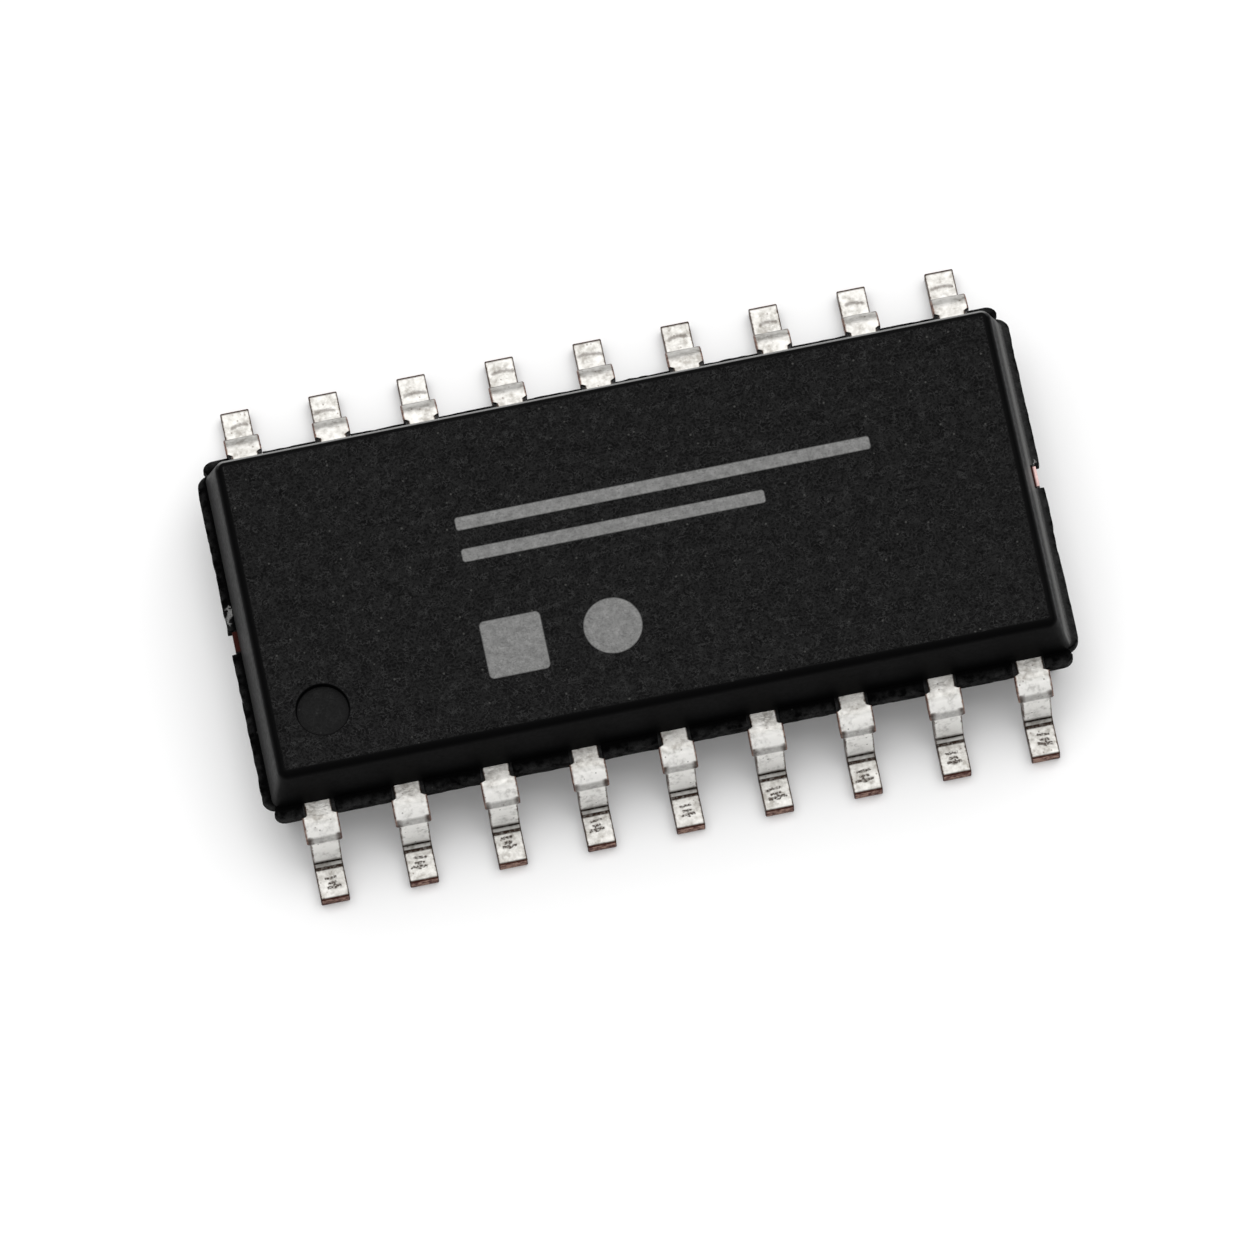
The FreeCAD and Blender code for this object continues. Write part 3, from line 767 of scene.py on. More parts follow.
def body_skin(sizes, leads):
    """The moulded block: rings of a rounded rectangle up its profile, closed by faces with marks.

    The profile runs from the lower face's rounded edge up the wall, across the rim of flash, up the
    upper wall and over the upper rounded edge. The lower face is filled in two halves, one for each
    ejector mark, and the upper face down to the pin-one dimple.
    """
    form = BodyForm(sizes, leads)
    walk = form.walk()
    width = form.flash_width(walk)
    hair = 0.004 * MM
    off_rim = leads.sheet / 2 + hair
    low_edge = form.edge_arc(sizes.bottom_radius, False)[::-1]
    high_edge = form.edge_arc(sizes.top_radius, True)
    below, above = form.flash_rows(width)
    lower = form.wall_rows(low_edge[-1][2], form.parting - off_rim, 7)[1:]
    upper = form.wall_rows(form.parting + off_rim, high_edge[0][2], 7)[:-1]
    parts = (low_edge, lower, below + above, upper, high_edge)
    grid = np.stack([form.ring(walk, *row) for part in parts for row in part])
    skin = Skin(*BODY_VALUES)
    skin.tube(grid, body_values(walk, width, [len(part) for part in parts]))
    dimple = np.array([sizes.dimple_from_end - form.half_length, sizes.dimple_from_side - form.half_width])
    sunk_face(skin, grid[-1], dimple, form.high,
              mark_profile(sizes.dimple_radius, sizes.dimple_depth, sizes.mark_edge), -1, False)
    ejector = mark_profile(sizes.ejector_radius, sizes.ejector_depth, sizes.mark_edge)
    for loop, end in split_loop(grid[0]):
        centre = np.array([end * sizes.ejector_spacing / 2, 0.0])
        sunk_face(skin, loop, centre, form.low, ejector, 1, True)
    return skin.finish("body_skin")


def split_loop(loop):
    """A closed loop cut along x = 0 into its +X and -X halves, each closed by the same middle line."""
    start = int(np.argmin(np.abs(loop[:, 0]) + (loop[:, 1] > 0)))
    turned = np.roll(loop, -start, axis=0)
    half = int(np.argmin(np.abs(turned[:, 0]) + (turned[:, 1] < 0)))
    right, left = turned[:half + 1], np.vstack([turned[half:], turned[:1]])
    inner = np.linspace(0, 1, 42)[1:-1, None]
    down = right[-1] + (right[0] - right[-1]) * inner
    return (np.vstack([right, down]), 1), (np.vstack([left, down[::-1]]), -1)


# Shader nodes

class NodeSheet:
    """A node tree being filled: it adds nodes, sets or links their sockets and returns outputs."""

    def __init__(self, tree):
        self.tree = tree

    def put(self, socket, value):
        """Links a socket to an output, or sets its value."""
        if isinstance(value, bpy.types.NodeSocket):
            self.tree.links.new(value, socket)
        else:
            socket.default_value = value

    def add(self, kind, inputs=None, **settings):
        """Adds a node of a kind with its settings and its inputs by name or number."""
        node = self.tree.nodes.new(kind)
        for key, value in settings.items():
            setattr(node, key, value)
        for key, value in (inputs or {}).items():
            self.put(node.inputs[key], value)
        return node

    def math(self, operation, *values, clamp=False):
        """One Math node."""
        inputs = dict(enumerate(values))
        return self.add("ShaderNodeMath", inputs, operation=operation, use_clamp=clamp).outputs[0]

    def times(self, first, *others):
        """The product of some values."""
        for other in others:
            first = self.math("MULTIPLY", first, other)
        return first

    def most(self, first, *others):
        """The largest of some values."""
        for other in others:
            first = self.math("MAXIMUM", first, other)
        return first

    def rest(self, value, clamp=False):
        """What a value lacks to one."""
        return self.math("SUBTRACT", 1.0, value, clamp=clamp)

    def plus_share(self, base, value, share):
        """A base plus a share of a value."""
        return self.math("MULTIPLY_ADD", value, share, base)

    def vector_math(self, operation, *values):
        """One Vector Math node with a vector result."""
        return self.add("ShaderNodeVectorMath", dict(enumerate(values)), operation=operation).outputs[0]

    def ramp(self, value, low, high, start=0.0, stop=1.0, smooth=False):
        """A value between low and high spread over start to stop."""
        kind = "SMOOTHSTEP" if smooth else "LINEAR"
        inputs = {0: value, 1: low, 2: high, 3: start, 4: stop}
        return self.add("ShaderNodeMapRange", inputs, interpolation_type=kind).outputs[0]

    def spread(self, value, start, stop):
        """A value between 0 and 1 spread over start to stop."""
        return self.ramp(value, 0.0, 1.0, start, stop)

    def band(self, value, limits, softness):
        """A mask that is one between two limits and fades out over a softness on both sides."""
        low, high = limits
        return self.times(self.ramp(value, low - softness, low),
                          self.ramp(value, high, high + softness, 1.0, 0.0))

    def mix(self, share, first, second):
        """A colour between two colours."""
        return self.add("ShaderNodeMix", {0: share, 6: first, 7: second}, data_type="RGBA").outputs[2]

    def noise(self, vector, scale, detail=2.0, roughness=0.5):
        """The grey value of a Noise Texture."""
        inputs = {"Vector": vector, "Scale": scale, "Detail": detail, "Roughness": roughness}
        return self.add("ShaderNodeTexNoise", inputs).outputs[0]

    def pulled(self, point, place, scale, reach):
        """A point pulled about by a noise at its place, by at most a reach each way."""
        pull = self.noise(place, scale, 3.0)
        return self.vector_math("ADD", point, self.plus_share(-reach, pull, 2 * reach))

    def part(self, vector, axis):
        """One coordinate of a vector."""
        return self.add("ShaderNodeSeparateXYZ", {0: vector}).outputs[axis]

    def attribute(self, name):
        """A value stored at the mesh's points."""
        return self.add("ShaderNodeAttribute", attribute_name=name).outputs["Fac"]

    def millimetres(self):
        """The object's own coordinates in millimetres."""
        place = self.add("ShaderNodeTexCoord").outputs["Object"]
        return self.add("ShaderNodeVectorMath", {0: place, "Scale": 1 / MM}, operation="SCALE").outputs[0]

    def bump(self, height, distance_mm):
        """A Bump node whose height of one stands for a distance in millimetres."""
        return self.add("ShaderNodeBump", {"Height": height, "Distance": distance_mm * MM}).outputs[0]

    def group(self, name, maker, inputs):
        """The outputs of a placed node group, made on first use, with its inputs by name."""
        tree = bpy.data.node_groups.get(name) or maker(name)
        return self.add("ShaderNodeGroup", inputs, node_tree=tree).outputs

    def grain(self, place, kind):
        """The outputs of a placed Grain group, its two noises at the scales of a kind."""
        fine, slow = GRAIN_SCALES[kind]
        return self.group("Grain", grain_group, {"Vector": place, "Fine": fine, "Slow": slow})

    def specks(self, place, kind):
        """The mask of a placed Specks group for a kind."""
        scale, radius, share = SPECK_CELLS[kind]
        inputs = {"Vector": place, "Scale": scale, "Radius": radius, "Share": share}
        return self.group("Specks", speck_group, inputs)["Mask"]

    def fields(self, place, shapes, softness):
        """Filled rectangles with round corners together, as a mask."""
        masks = []
        for middle, half, radius in shapes:
            inputs = {"Vector": place, "Middle": (*middle, 0.0), "Radius": radius, "Softness": softness,
                      "Core": (half[0] - radius, half[1] - radius, 1.0)}
            masks.append(self.group("Field", field_group, inputs)["Mask"])
        return self.most(*masks)


def rgba(value, share=1.0):
    """A colour property as four numbers, darkened by a share."""
    return (*(part * share for part in value), 1.0)


def new_group(name, vectors, floats, results):
    """An empty shader node group with named vector and number inputs and number outputs.

    Returns the tree, its sheet, and the sockets of its input and output nodes.
    """
    tree = bpy.data.node_groups.new(name, "ShaderNodeTree")
    sockets = [(title, "INPUT", "NodeSocketVector") for title in vectors]
    sockets += [(title, "INPUT", "NodeSocketFloat") for title in floats]
    sockets += [(title, "OUTPUT", "NodeSocketFloat") for title in results]
    for title, direction, kind in sockets:
        tree.interface.new_socket(title, in_out=direction, socket_type=kind)
    sheet = NodeSheet(tree)
    return tree, sheet, sheet.add("NodeGroupInput").outputs, sheet.add("NodeGroupOutput").inputs


def grain_group(name):
    """Fine grain and slow clouds: two noises, each spread over the full range."""
    tree, sheet, entry, leave = new_group(name, ("Vector",), ("Fine", "Slow"), ("Grain", "Cloud"))
    fine = sheet.noise(entry["Vector"], entry["Fine"], 4.0, 0.6)
    slow = sheet.noise(entry["Vector"], entry["Slow"], 3.0, 0.55)
    sheet.put(leave["Grain"], sheet.ramp(fine, 0.3, 0.7))
    sheet.put(leave["Cloud"], sheet.ramp(slow, 0.3, 0.7))
    return tree


def speck_group(name):
    """Sparse round specks: the cells of a Voronoi pattern whose random shade is over a limit."""
    tree, sheet, entry, leave = new_group(name, ("Vector",), ("Scale", "Radius", "Share"), ("Mask",))
    cells = sheet.add("ShaderNodeTexVoronoi", {"Vector": entry["Vector"], "Scale": entry["Scale"]}).outputs
    shade = sheet.add("ShaderNodeSeparateColor", {0: cells["Color"]}).outputs[0]
    chosen = sheet.math("GREATER_THAN", shade, sheet.rest(entry["Share"]))
    near = sheet.rest(sheet.math("DIVIDE", cells["Distance"], entry["Radius"]), clamp=True)
    sheet.put(leave["Mask"], sheet.times(chosen, sheet.ramp(near, 0.0, 0.5)))
    return tree


def field_group(name):
    """A filled rectangle with round corners, as a mask.

    The distance outside it is the length of what is left of the offset from its middle after the
    half size less the radius is taken off each axis, less the radius.
    """
    tree, sheet, entry, leave = new_group(name, ("Vector", "Middle", "Core"), ("Radius", "Softness"),
                                          ("Mask",))
    flat = sheet.vector_math("MULTIPLY", entry["Vector"], (1.0, 1.0, 0.0))
    offset = sheet.vector_math("ABSOLUTE", sheet.vector_math("SUBTRACT", flat, entry["Middle"]))
    beyond = sheet.vector_math("MAXIMUM", sheet.vector_math("SUBTRACT", offset, entry["Core"]), (0, 0, 0))
    length = sheet.add("ShaderNodeVectorMath", {0: beyond}, operation="LENGTH").outputs["Value"]
    over = sheet.math("SUBTRACT", length, entry["Radius"])
    sheet.put(leave["Mask"], sheet.rest(sheet.math("DIVIDE", over, entry["Softness"]), clamp=True))
    return tree


class Finishes:
    """The materials of the circuit, each made once from the colours."""

    def __init__(self, colours):
        self.colours = colours

    def get(self, name):
        """A material by name, made on first use."""
        title = f"{name}_finish"
        return bpy.data.materials.get(title) or getattr(self, name)(title)

    def start(self, name, **constants):
        """A new material with its Principled shader, the constants set on the shader's own sockets."""
        material = bpy.data.materials.new(name)
        material.use_nodes = True
        material.node_tree.nodes.clear()
        sheet = NodeSheet(material.node_tree)
        titles = {key.replace("_", " "): value for key, value in constants.items()}
        shader = sheet.add("ShaderNodeBsdfPrincipled", titles)
        sheet.add("ShaderNodeOutputMaterial", {0: shader.outputs[0]})
        return material, sheet, shader.inputs

    def coat(self, sheet, shader, kind, base, roughness, height=None):
        """Links a finish's colour and roughness and, where it has one, its height."""
        sheet.put(shader["Base Color"], base)
        sheet.put(shader["Roughness"], roughness)
        if height is not None:
            sheet.put(shader["Normal"], sheet.bump(height, BUMP_DEPTHS[kind]))

    def moulding_compound(self, name):
        """Black filled epoxy: grained faces, smooth walls, a torn rim, and fields of laser mark, with painted
        light on the end walls and painted highlights on the +X end wall and the far rounded edge.
        """
        colours = self.colours
        material, sheet, shader = self.start(name, Specular_IOR_Level=0.03)
        place = sheet.millimetres()
        rim, grained, tone = (sheet.attribute(title) for title in ("rim", "grain", "tone"))
        on_rim = sheet.ramp(rim, 0.0, 0.4)
        grain = sheet.grain(place, "face")
        torn = sheet.grain(place, "torn")
        worm, blend = self.winding_grain(sheet, place, grain)
        # The tone sets the level of the compound's grey; on the end walls it is painted light
        level = sheet.math("MULTIPLY_ADD", sheet.math("SUBTRACT", blend, 0.36), grained, tone, clamp=True)
        outer = sheet.times(sheet.ramp(rim, 0.6, 1.0), sheet.ramp(torn["Cloud"], 0.2, 0.9))
        level = sheet.plus_share(level, outer, 0.9)
        base = sheet.mix(level, rgba(colours.compound), rgba(colours.filler))
        # Tones over one turn towards the mark's grey: painted highlights on the +X end wall and the far
        # rounded edge
        base = sheet.mix(sheet.ramp(tone, 1.0, 2.0), base, rgba(colours.mark))
        dots = sheet.times(sheet.specks(place, "face"), sheet.most(grained, on_rim), 0.55)
        base = sheet.mix(dots, base, rgba(colours.speck))
        chips = sheet.fields(sheet.pulled(place, place, 18.0, 0.12), CHIPS, 0.02)
        base = sheet.mix(sheet.times(chips, on_rim), base, rgba(colours.mark))
        marked = sheet.times(self.mark_mask(sheet, place), grained)
        base = sheet.mix(marked, base, self.mark_colour(sheet, torn))
        rough = sheet.spread(grain["Grain"], *ROUGHNESS["compound"])
        rough = sheet.plus_share(rough, sheet.rest(grained), -0.14)
        rough = sheet.most(rough, sheet.times(on_rim, 0.72), sheet.times(marked, 0.85))
        height = sheet.plus_share(sheet.times(worm, grained), sheet.times(torn["Grain"], on_rim), 3.2)
        self.coat(sheet, shader, "compound", base, rough, height)
        return material

    def winding_grain(self, sheet, place, grain):
        """The grain's winding lines, and how pale it is.

        The lines are where a noise is close to its middle value. In places they hold paler streaks.
        """
        middle = sheet.math("ABSOLUTE", sheet.plus_share(-1.0, grain["Grain"], 2.0))
        worm = sheet.ramp(middle, 0.0, 0.5, 1.0, 0.0)
        streak = sheet.times(sheet.ramp(middle, 0.0, 0.16, 1.0, 0.0),
                             sheet.ramp(sheet.noise(place, 8.0), 0.48, 0.64))
        blend = sheet.plus_share(sheet.times(grain["Cloud"], 0.16), worm, 0.40)
        return worm, sheet.plus_share(blend, streak, 0.95)

    def mark_mask(self, sheet, place):
        """The laser-marked fields together, thinner in places."""
        wobble = sheet.noise(place, 30.0, 1.0)
        return sheet.times(sheet.fields(place, MARK_FIELDS, 0.02), sheet.ramp(wobble, 0.25, 0.5, 0.75, 1.0))

    def mark_colour(self, sheet, torn):
        """The grey of the laser mark, mottled by two noises."""
        shade = sheet.times(sheet.spread(torn["Cloud"], 0.62, 1.0), sheet.spread(torn["Grain"], 0.78, 1.0))
        return sheet.mix(shade, rgba(self.colours.filler), rgba(self.colours.mark))

    def probe_print(self, sheet, place):
        """A test probe's print on the foot: a ladder of strokes across it, frayed by a noise.

        It is strong on the row of pin one. On the other row it is faint, with a bowed pressed line.
        """
        here = sheet.add("ShaderNodeCombineXYZ", {0: sheet.attribute("print_x"),
                                                  1: sheet.attribute("print_y")}).outputs[0]
        moved = sheet.pulled(here, place, 24.0, 0.022)
        far = sheet.attribute("far")
        strokes = sheet.times(sheet.fields(moved, PRINT_STROKES, 0.016),
                              sheet.ramp(sheet.noise(place, 34.0), 0.30, 0.56), sheet.spread(far, 1.0, 0.18))
        bow = sheet.part(sheet.vector_math("MULTIPLY", moved, moved), "X")
        bow = sheet.add("ShaderNodeCombineXYZ", {1: sheet.times(bow, 1.2)}).outputs[0]
        bent = sheet.vector_math("SUBTRACT", moved, bow)
        pressed = sheet.times(sheet.fields(bent, PRESSED_LINE, 0.03), 0.62, far)
        return sheet.most(strokes, pressed)

    def tin_plate(self, name):
        """Matte tin over stamped copper: bruised edges, painted shade at the bends, bare where it was cut
        afterwards.

        On the row of pin one the riser and the bend above it are less metallic and rougher, and are mixed
        towards a bright colour as painted light.
        """
        colours = self.colours
        material, sheet, shader = self.start(name)
        place = sheet.millimetres()
        coarse = sheet.grain(place, "plate")
        fine = sheet.grain(place, "scratch")
        patch = sheet.times(coarse["Cloud"], sheet.ramp(fine["Cloud"], 0.1, 0.9, 0.3, 1.3))
        tin = sheet.mix(sheet.times(patch, 1.1), rgba(colours.tin), rgba(colours.tin_shade))
        satin_and_painted_light = sheet.times(sheet.band(sheet.attribute("from_tip"), SATIN_PAINTED_RISER, 0.06),
                            sheet.rest(sheet.attribute("far")))
        # Painted light: the riser and the bend above it are mixed towards a bright colour
        tin = sheet.mix(sheet.times(satin_and_painted_light, sheet.ramp(patch, 0.3, 1.0, 1.0, 0.55)), tin,
                        rgba(colours.riser_painted_light))
        printed = self.probe_print(sheet, place)
        stains = (
            (sheet.times(sheet.specks(place, "pits"), 0.55), 1.0),
            (self.rubbed_edges(sheet, coarse), 1.0),
            (sheet.times(printed, 0.92), 0.5),
            # Painted shade at the bends, in the outline's brown
            (self.bend_shade(sheet, coarse), 0.3),
        )
        for mask, share in stains:
            tin = sheet.mix(mask, tin, rgba(colours.outline, share))
        bare, torn = self.cut_masks(sheet, coarse)
        base = sheet.mix(bare, tin, self.cut_copper(sheet, fine))
        base = sheet.mix(torn, base, rgba(colours.outline, 0.12))
        rough = sheet.spread(coarse["Grain"], *ROUGHNESS["tin"])
        rough = sheet.plus_share(sheet.plus_share(rough, satin_and_painted_light, 0.2), bare, 0.2)
        height = sheet.plus_share(coarse["Grain"], fine["Grain"], 0.4)
        height = sheet.plus_share(height, printed, -2.0)
        self.coat(sheet, shader, "tin", base, rough, height)
        sheet.put(shader["Metallic"], sheet.spread(satin_and_painted_light, 1.0, 0.5))
        return material

    def rubbed_edges(self, sheet, coarse):
        """Ragged brown outlines along a lead, with blots at the lower corners of its stubs."""
        from_side, from_tip = sheet.attribute("from_side"), sheet.attribute("from_tip")
        outline = sheet.ramp(sheet.attribute("edge"), 0.15, 0.7)
        ragged = sheet.ramp(sheet.plus_share(from_side, coarse["Grain"], -0.022), 0.0, 0.014, 1.0, 0.0)
        blot = sheet.ramp(sheet.plus_share(from_side, coarse["Cloud"], -0.03), 0.03, 0.09, 0.95, 0.0)
        blot = sheet.times(blot, sheet.band(from_tip, STUB_BLOTS, 0.02))
        return sheet.times(sheet.most(outline, ragged, blot), sheet.ramp(coarse["Cloud"], 0.0, 0.7, 0.6, 1.0))

    def bend_shade(self, sheet, coarse):
        """Painted shade as dark lines across a lead at its bends, and a dark line at its tip."""
        from_tip = sheet.attribute("from_tip")
        lines = [sheet.times(sheet.band(from_tip, limits, softness), strength)
                 for limits, softness, strength in BEND_SHADE_BANDS]
        lines = sheet.times(sheet.most(*lines), sheet.ramp(coarse["Grain"], 0.0, 0.6, 0.75, 1.0))
        return sheet.most(lines, sheet.ramp(from_tip, *TIP_LINE, 1.0, 0.0))

    def cut_masks(self, sheet, coarse):
        """Where a lead is bare copper, at its tip and on its stubs, and where its stubs were torn."""
        edge, stub, cut = (sheet.attribute(title) for title in ("edge", "stub", "cut"))
        stub_cut = sheet.times(sheet.ramp(edge, 0.15, 0.6), sheet.ramp(stub, 0.4, 1.0),
                               sheet.ramp(coarse["Grain"], 0.1, 0.6, 0.55, 1.0))
        torn = sheet.times(sheet.ramp(edge, 0.1, 0.4), sheet.band(stub, (0.12, 0.88), 0.1))
        return sheet.most(sheet.ramp(cut, 0.02, 0.15), stub_cut), torn

    def cut_copper(self, sheet, fine):
        """Freshly cut copper with tarnish in patches and round its rounded edges."""
        colours = self.colours
        copper = sheet.mix(sheet.ramp(fine["Cloud"], 0.2, 0.8), rgba(colours.copper), rgba(colours.tarnish))
        rounded = sheet.band(sheet.attribute("cut"), (0.15, 0.75), 0.1)
        return sheet.mix(rounded, copper, rgba(colours.tarnish, 0.7))

    def bare_copper(self, name):
        """Unplated copper sheet, dark with tarnish at its ends and fresh at the +X cut."""
        material, sheet, shader = self.start(name, Metallic=1.0)
        place = sheet.millimetres()
        grain = sheet.grain(place, "copper")
        along = sheet.part(place, "X")
        dark = rgba(self.colours.tarnish, 0.25)
        base = sheet.mix(sheet.band(along, (-4.0, 4.0), 1.0), dark, rgba(self.colours.copper))
        base = sheet.mix(sheet.ramp(along, *FRESH_CUT), base, rgba(self.colours.fresh))
        base = sheet.mix(sheet.times(grain["Cloud"], 0.3), base, dark)
        rough = sheet.spread(grain["Grain"], *ROUGHNESS["copper"])
        self.coat(sheet, shader, "copper", base, rough, grain["Grain"])
        return material

    def gold_wire(self, name):
        """Drawn gold with a faint unevenness."""
        material, sheet, shader = self.start(name, Metallic=1.0)
        grain = sheet.grain(sheet.millimetres(), "gold")
        base = sheet.mix(grain["Cloud"], rgba(self.colours.gold), rgba(self.colours.gold, 0.8))
        rough = sheet.spread(grain["Grain"], *ROUGHNESS["gold"])
        self.coat(sheet, shader, "gold", base, rough, grain["Grain"])
        return material

    def silicon(self, name):
        """Polished silicon with a faint pattern of circuit blocks."""
        colours = self.colours
        material, sheet, shader = self.start(name, IOR=2.2)
        place = sheet.millimetres()
        grain = sheet.grain(place, "silicon")
        blocks = sheet.add("ShaderNodeTexBrick", {"Vector": place, "Scale": 4.0, "Mortar Size": 0.03,
                                                  "Color1": rgba(colours.silicon),
                                                  "Color2": rgba(colours.silicon, 2.6),
                                                  "Mortar": rgba(colours.filler)}).outputs[0]
        base = sheet.mix(sheet.times(grain["Grain"], 0.3), blocks, rgba(colours.adhesive, 0.4))
        rough = sheet.spread(grain["Cloud"], *ROUGHNESS["silicon"])
        self.coat(sheet, shader, "silicon", base, rough)
        return material

    def adhesive(self, name):
        """Silver-filled epoxy, dull and flaky."""
        material, sheet, shader = self.start(name, Metallic=0.6)
        grain = sheet.grain(sheet.millimetres(), "adhesive")
        base = sheet.mix(grain["Grain"], rgba(self.colours.adhesive, 0.6), rgba(self.colours.adhesive))
        rough = sheet.spread(grain["Cloud"], *ROUGHNESS["adhesive"])
        self.coat(sheet, shader, "adhesive", base, rough, grain["Grain"])
        return material

    def studio_floor(self, name):
        """White floor that keeps its shadow, with a little glow for the eye and for reflections."""
        material, sheet, shader = self.start(name, Base_Color=rgba(self.colours.floor), Roughness=0.9,
                                             Specular_IOR_Level=0.2, Emission_Color=(1.0, 1.0, 1.0, 1.0))
        path = sheet.add("ShaderNodeLightPath").outputs
        seen = sheet.most(path["Is Camera Ray"], path["Is Glossy Ray"], path["Is Transmission Ray"])
        glow = bpy.context.scene.circuit_stage.floor_glow
        sheet.put(shader["Emission Strength"], sheet.times(seen, glow))
        return material


# Stage

def direction(azimuth, elevation):
    """The unit vector (sin a cos e, -cos a cos e, sin e) for azimuth a and elevation e."""
    return Vector((math.sin(azimuth) * math.cos(elevation), -math.cos(azimuth) * math.cos(elevation),
                   math.sin(elevation)))


def place_camera(stage):
    """The camera: back along its direction from the target, turned by the roll, and slid sideways.

    The lens is the sensor's width times the distance over the width of the picture at the target.
    """
    roll = stage.roll
    back = direction(stage.azimuth, stage.elevation)
    level = Vector((math.cos(stage.azimuth), math.sin(stage.azimuth), 0.0))
    upright = back.cross(level)
    right = level * math.cos(roll) + upright * math.sin(roll)
    up = upright * math.cos(roll) - level * math.sin(roll)
    data = bpy.data.cameras.new("camera")
    data.sensor_width = stage.sensor_mm
    data.lens = stage.sensor_mm * stage.distance / stage.frame_width
    data.clip_start = stage.distance / 10
    camera = new_object("camera", data)
    matrix = Matrix((right, up, back)).transposed().to_4x4()
    target = Vector((0.0, 0.0, stage.target_height))
    matrix.translation = target + back * stage.distance + right * stage.shift_right + up * stage.shift_up
    camera.matrix_world = matrix
    bpy.context.scene.camera = camera


def place_key(stage):
    """A square softbox above and behind the object, facing it."""
    data = bpy.data.lights.new("softbox", "AREA")
    data.size = stage.key_size
    data.energy = stage.key_watts
    lamp = new_object("softbox", data)
    away = direction(stage.key_azimuth, stage.key_elevation)
    lamp.location = away * stage.key_distance
    lamp.rotation_mode = "QUATERNION"
    lamp.rotation_quaternion = away.to_track_quat("Z", "Y")


def light_world(stage):
    """A pale room: bright overhead and dimmer towards level, by the height of the direction."""
    world = bpy.data.worlds.new("studio")
    world.use_nodes = True
    world.node_tree.nodes.clear()
    sheet = NodeSheet(world.node_tree)
    height = sheet.part(sheet.add("ShaderNodeTexCoord").outputs["Generated"], "Z")
    level = sheet.ramp(height, *ROOM_FADE, stage.horizon, stage.zenith, smooth=True)
    background = sheet.add("ShaderNodeBackground", {"Color": (1.0, 1.0, 1.0, 1.0), "Strength": level})
    sheet.add("ShaderNodeOutputWorld", {0: background.outputs[0]})
    bpy.context.scene.world = world


def lay_floor(stage, material):
    """A square floor a hair below the feet."""
    gap = 0.0005 * MM
    square = np.array([(-1, -1), (1, -1), (1, 1), (-1, 1)]) * stage.floor_reach
    points = np.column_stack([square, np.full(4, -gap)])
    mesh = bpy.data.meshes.new("floor")
    mesh.from_pydata(points.tolist(), [], [(0, 1, 2, 3)])
    mesh.materials.append(material)
    new_object("floor", mesh)


# Operators

class CIRCUIT_OT_leads(bpy.types.Operator):
    """Make the eighteen plated gull-wing leads"""

    bl_idname = "circuit.leads"
    bl_label = "Leads"

    def execute(self, context):
        sizes = context.scene.circuit_leads
        material = Finishes(context.scene.circuit_colours).get("tin_plate")
        parting = LEAD_BOX[1].z - sizes.sheet / 2
        wall = BODY_BOX[1].y - context.scene.circuit_body.side_flash
        for number in range(1, 2 * sizes.pins_per_side + 1):
            piece = lead_skin(number, sizes, parting, wall)
            dress(piece, material, f"lead_{number:02d}")
        return {"FINISHED"}


class CIRCUIT_OT_body(bpy.types.Operator):
    """Make the moulded body with its rim of flash, its dimple and its ejector marks"""

    bl_idname = "circuit.body"
    bl_label = "Moulded body"

    def execute(self, context):
        piece = body_skin(context.scene.circuit_body, context.scene.circuit_leads)
        material = Finishes(context.scene.circuit_colours).get("moulding_compound")
        dress(piece, material, "molded_body")
        return {"FINISHED"}


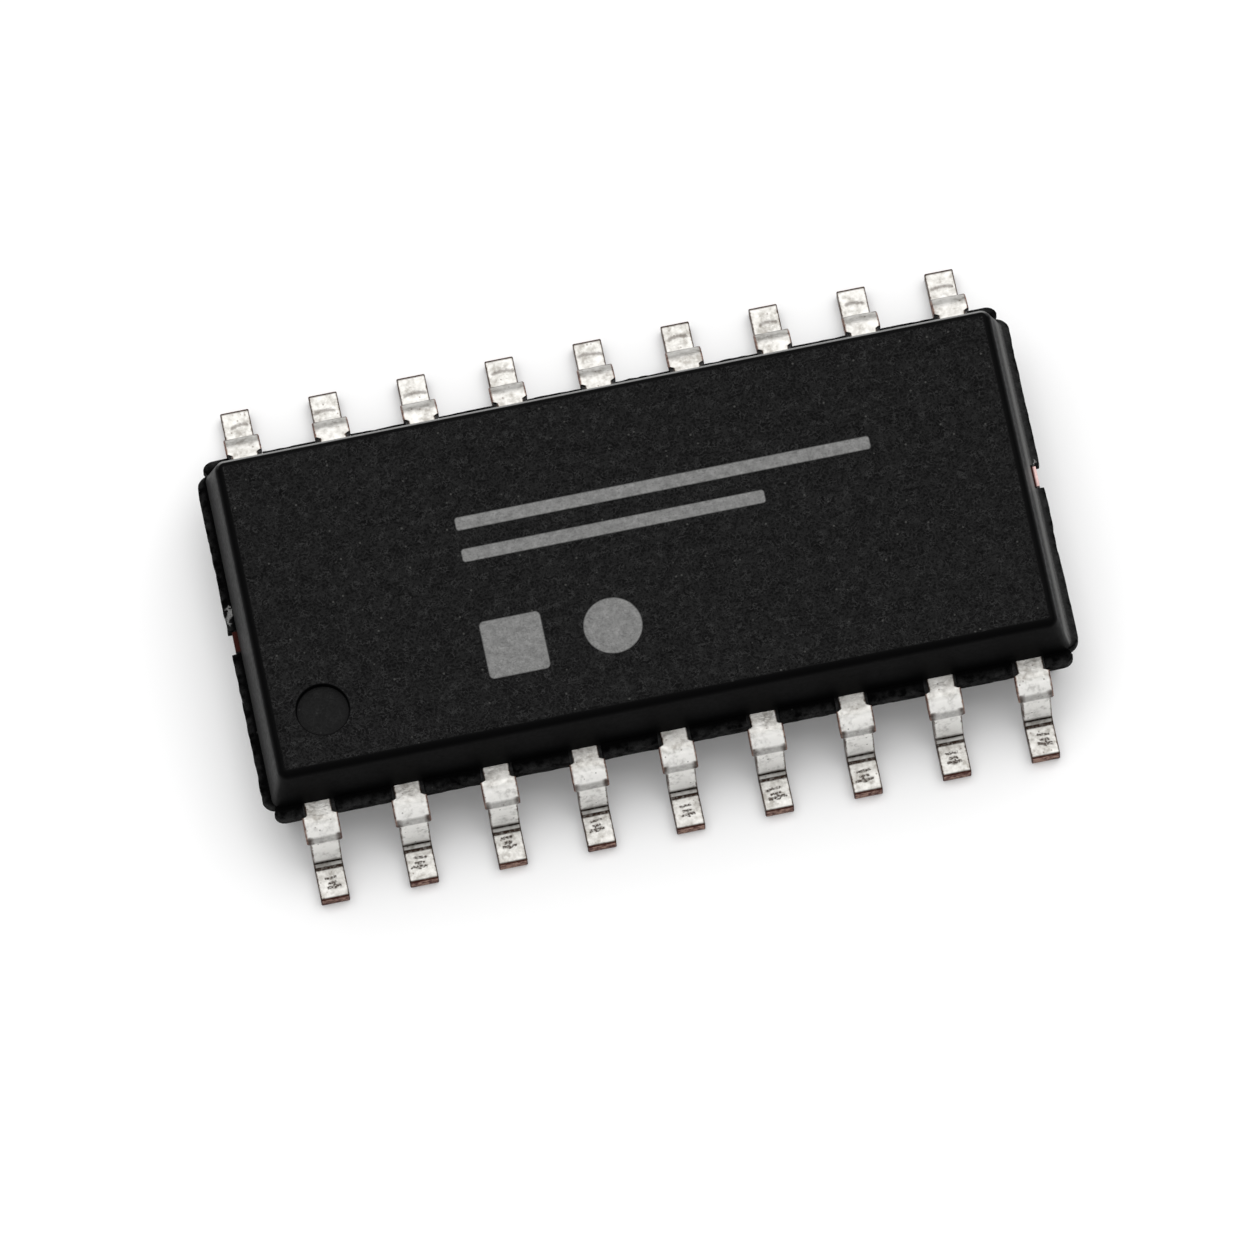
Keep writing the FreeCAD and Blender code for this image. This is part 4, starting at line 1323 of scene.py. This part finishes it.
class CIRCUIT_OT_inner_pieces(bpy.types.Operator):
    """Give the die pad, the adhesive, the die and the bond wires their finishes"""

    bl_idname = "circuit.inner_pieces"
    bl_label = "Inner pieces"

    def execute(self, context):
        finishes = Finishes(context.scene.circuit_colours)
        wanted = {"die_pad": "bare_copper", "die_attach": "adhesive", "silicon_die": "silicon"}
        for name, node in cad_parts.items():
            finish = wanted.get(name, "gold_wire" if name.startswith("bond_wire") else None)
            if finish:
                node.data.materials.clear()
                node.data.materials.append(finishes.get(finish))
        return {"FINISHED"}


class CIRCUIT_OT_stage(bpy.types.Operator):
    """Lay the floor and place the camera, the softbox and the room light"""

    bl_idname = "circuit.stage"
    bl_label = "Stage"

    def execute(self, context):
        stage = context.scene.circuit_stage
        context.scene.view_settings.view_transform = "Standard"
        lay_floor(stage, Finishes(context.scene.circuit_colours).get("studio_floor"))
        place_key(stage)
        light_world(stage)
        place_camera(stage)
        return {"FINISHED"}


class CIRCUIT_PT_sidebar(bpy.types.Panel):
    """The steps and sizes of the circuit in the 3D view's sidebar"""

    bl_label = "Integrated circuit"
    bl_idname = "CIRCUIT_PT_sidebar"
    bl_space_type = "VIEW_3D"
    bl_region_type = "UI"
    bl_category = "Circuit"

    def draw(self, context):
        layout = self.layout
        for step in STEPS:
            layout.operator(step.bl_idname)
        for title in GROUPS:
            settings = getattr(context.scene, title)
            box = layout.box()
            box.label(text=settings.bl_rna.name)
            for name in type(settings).__annotations__:
                box.prop(settings, name)


STEPS = (CIRCUIT_OT_leads, CIRCUIT_OT_body, CIRCUIT_OT_inner_pieces, CIRCUIT_OT_stage)
GROUPS = {
    "circuit_leads": LeadSizes,
    "circuit_body": BodySizes,
    "circuit_colours": FinishColours,
    "circuit_stage": StageSettings,
}
CLASSES = (*GROUPS.values(), *STEPS, CIRCUIT_PT_sidebar)


def register():
    """Registers the classes and hangs the settings on the scene."""
    for cls in CLASSES:
        bpy.utils.register_class(cls)
    for title, kind in GROUPS.items():
        setattr(bpy.types.Scene, title, bpy.props.PointerProperty(type=kind))


def unregister():
    """Takes the settings and the classes away again."""
    for title in GROUPS:
        delattr(bpy.types.Scene, title)
    for cls in reversed(CLASSES):
        bpy.utils.unregister_class(cls)


def main():
    """Builds everything in order."""
    register()
    bpy.ops.circuit.leads()
    bpy.ops.circuit.body()
    bpy.ops.circuit.inner_pieces()
    bpy.ops.circuit.stage()


if __name__ == "__main__":
    main()
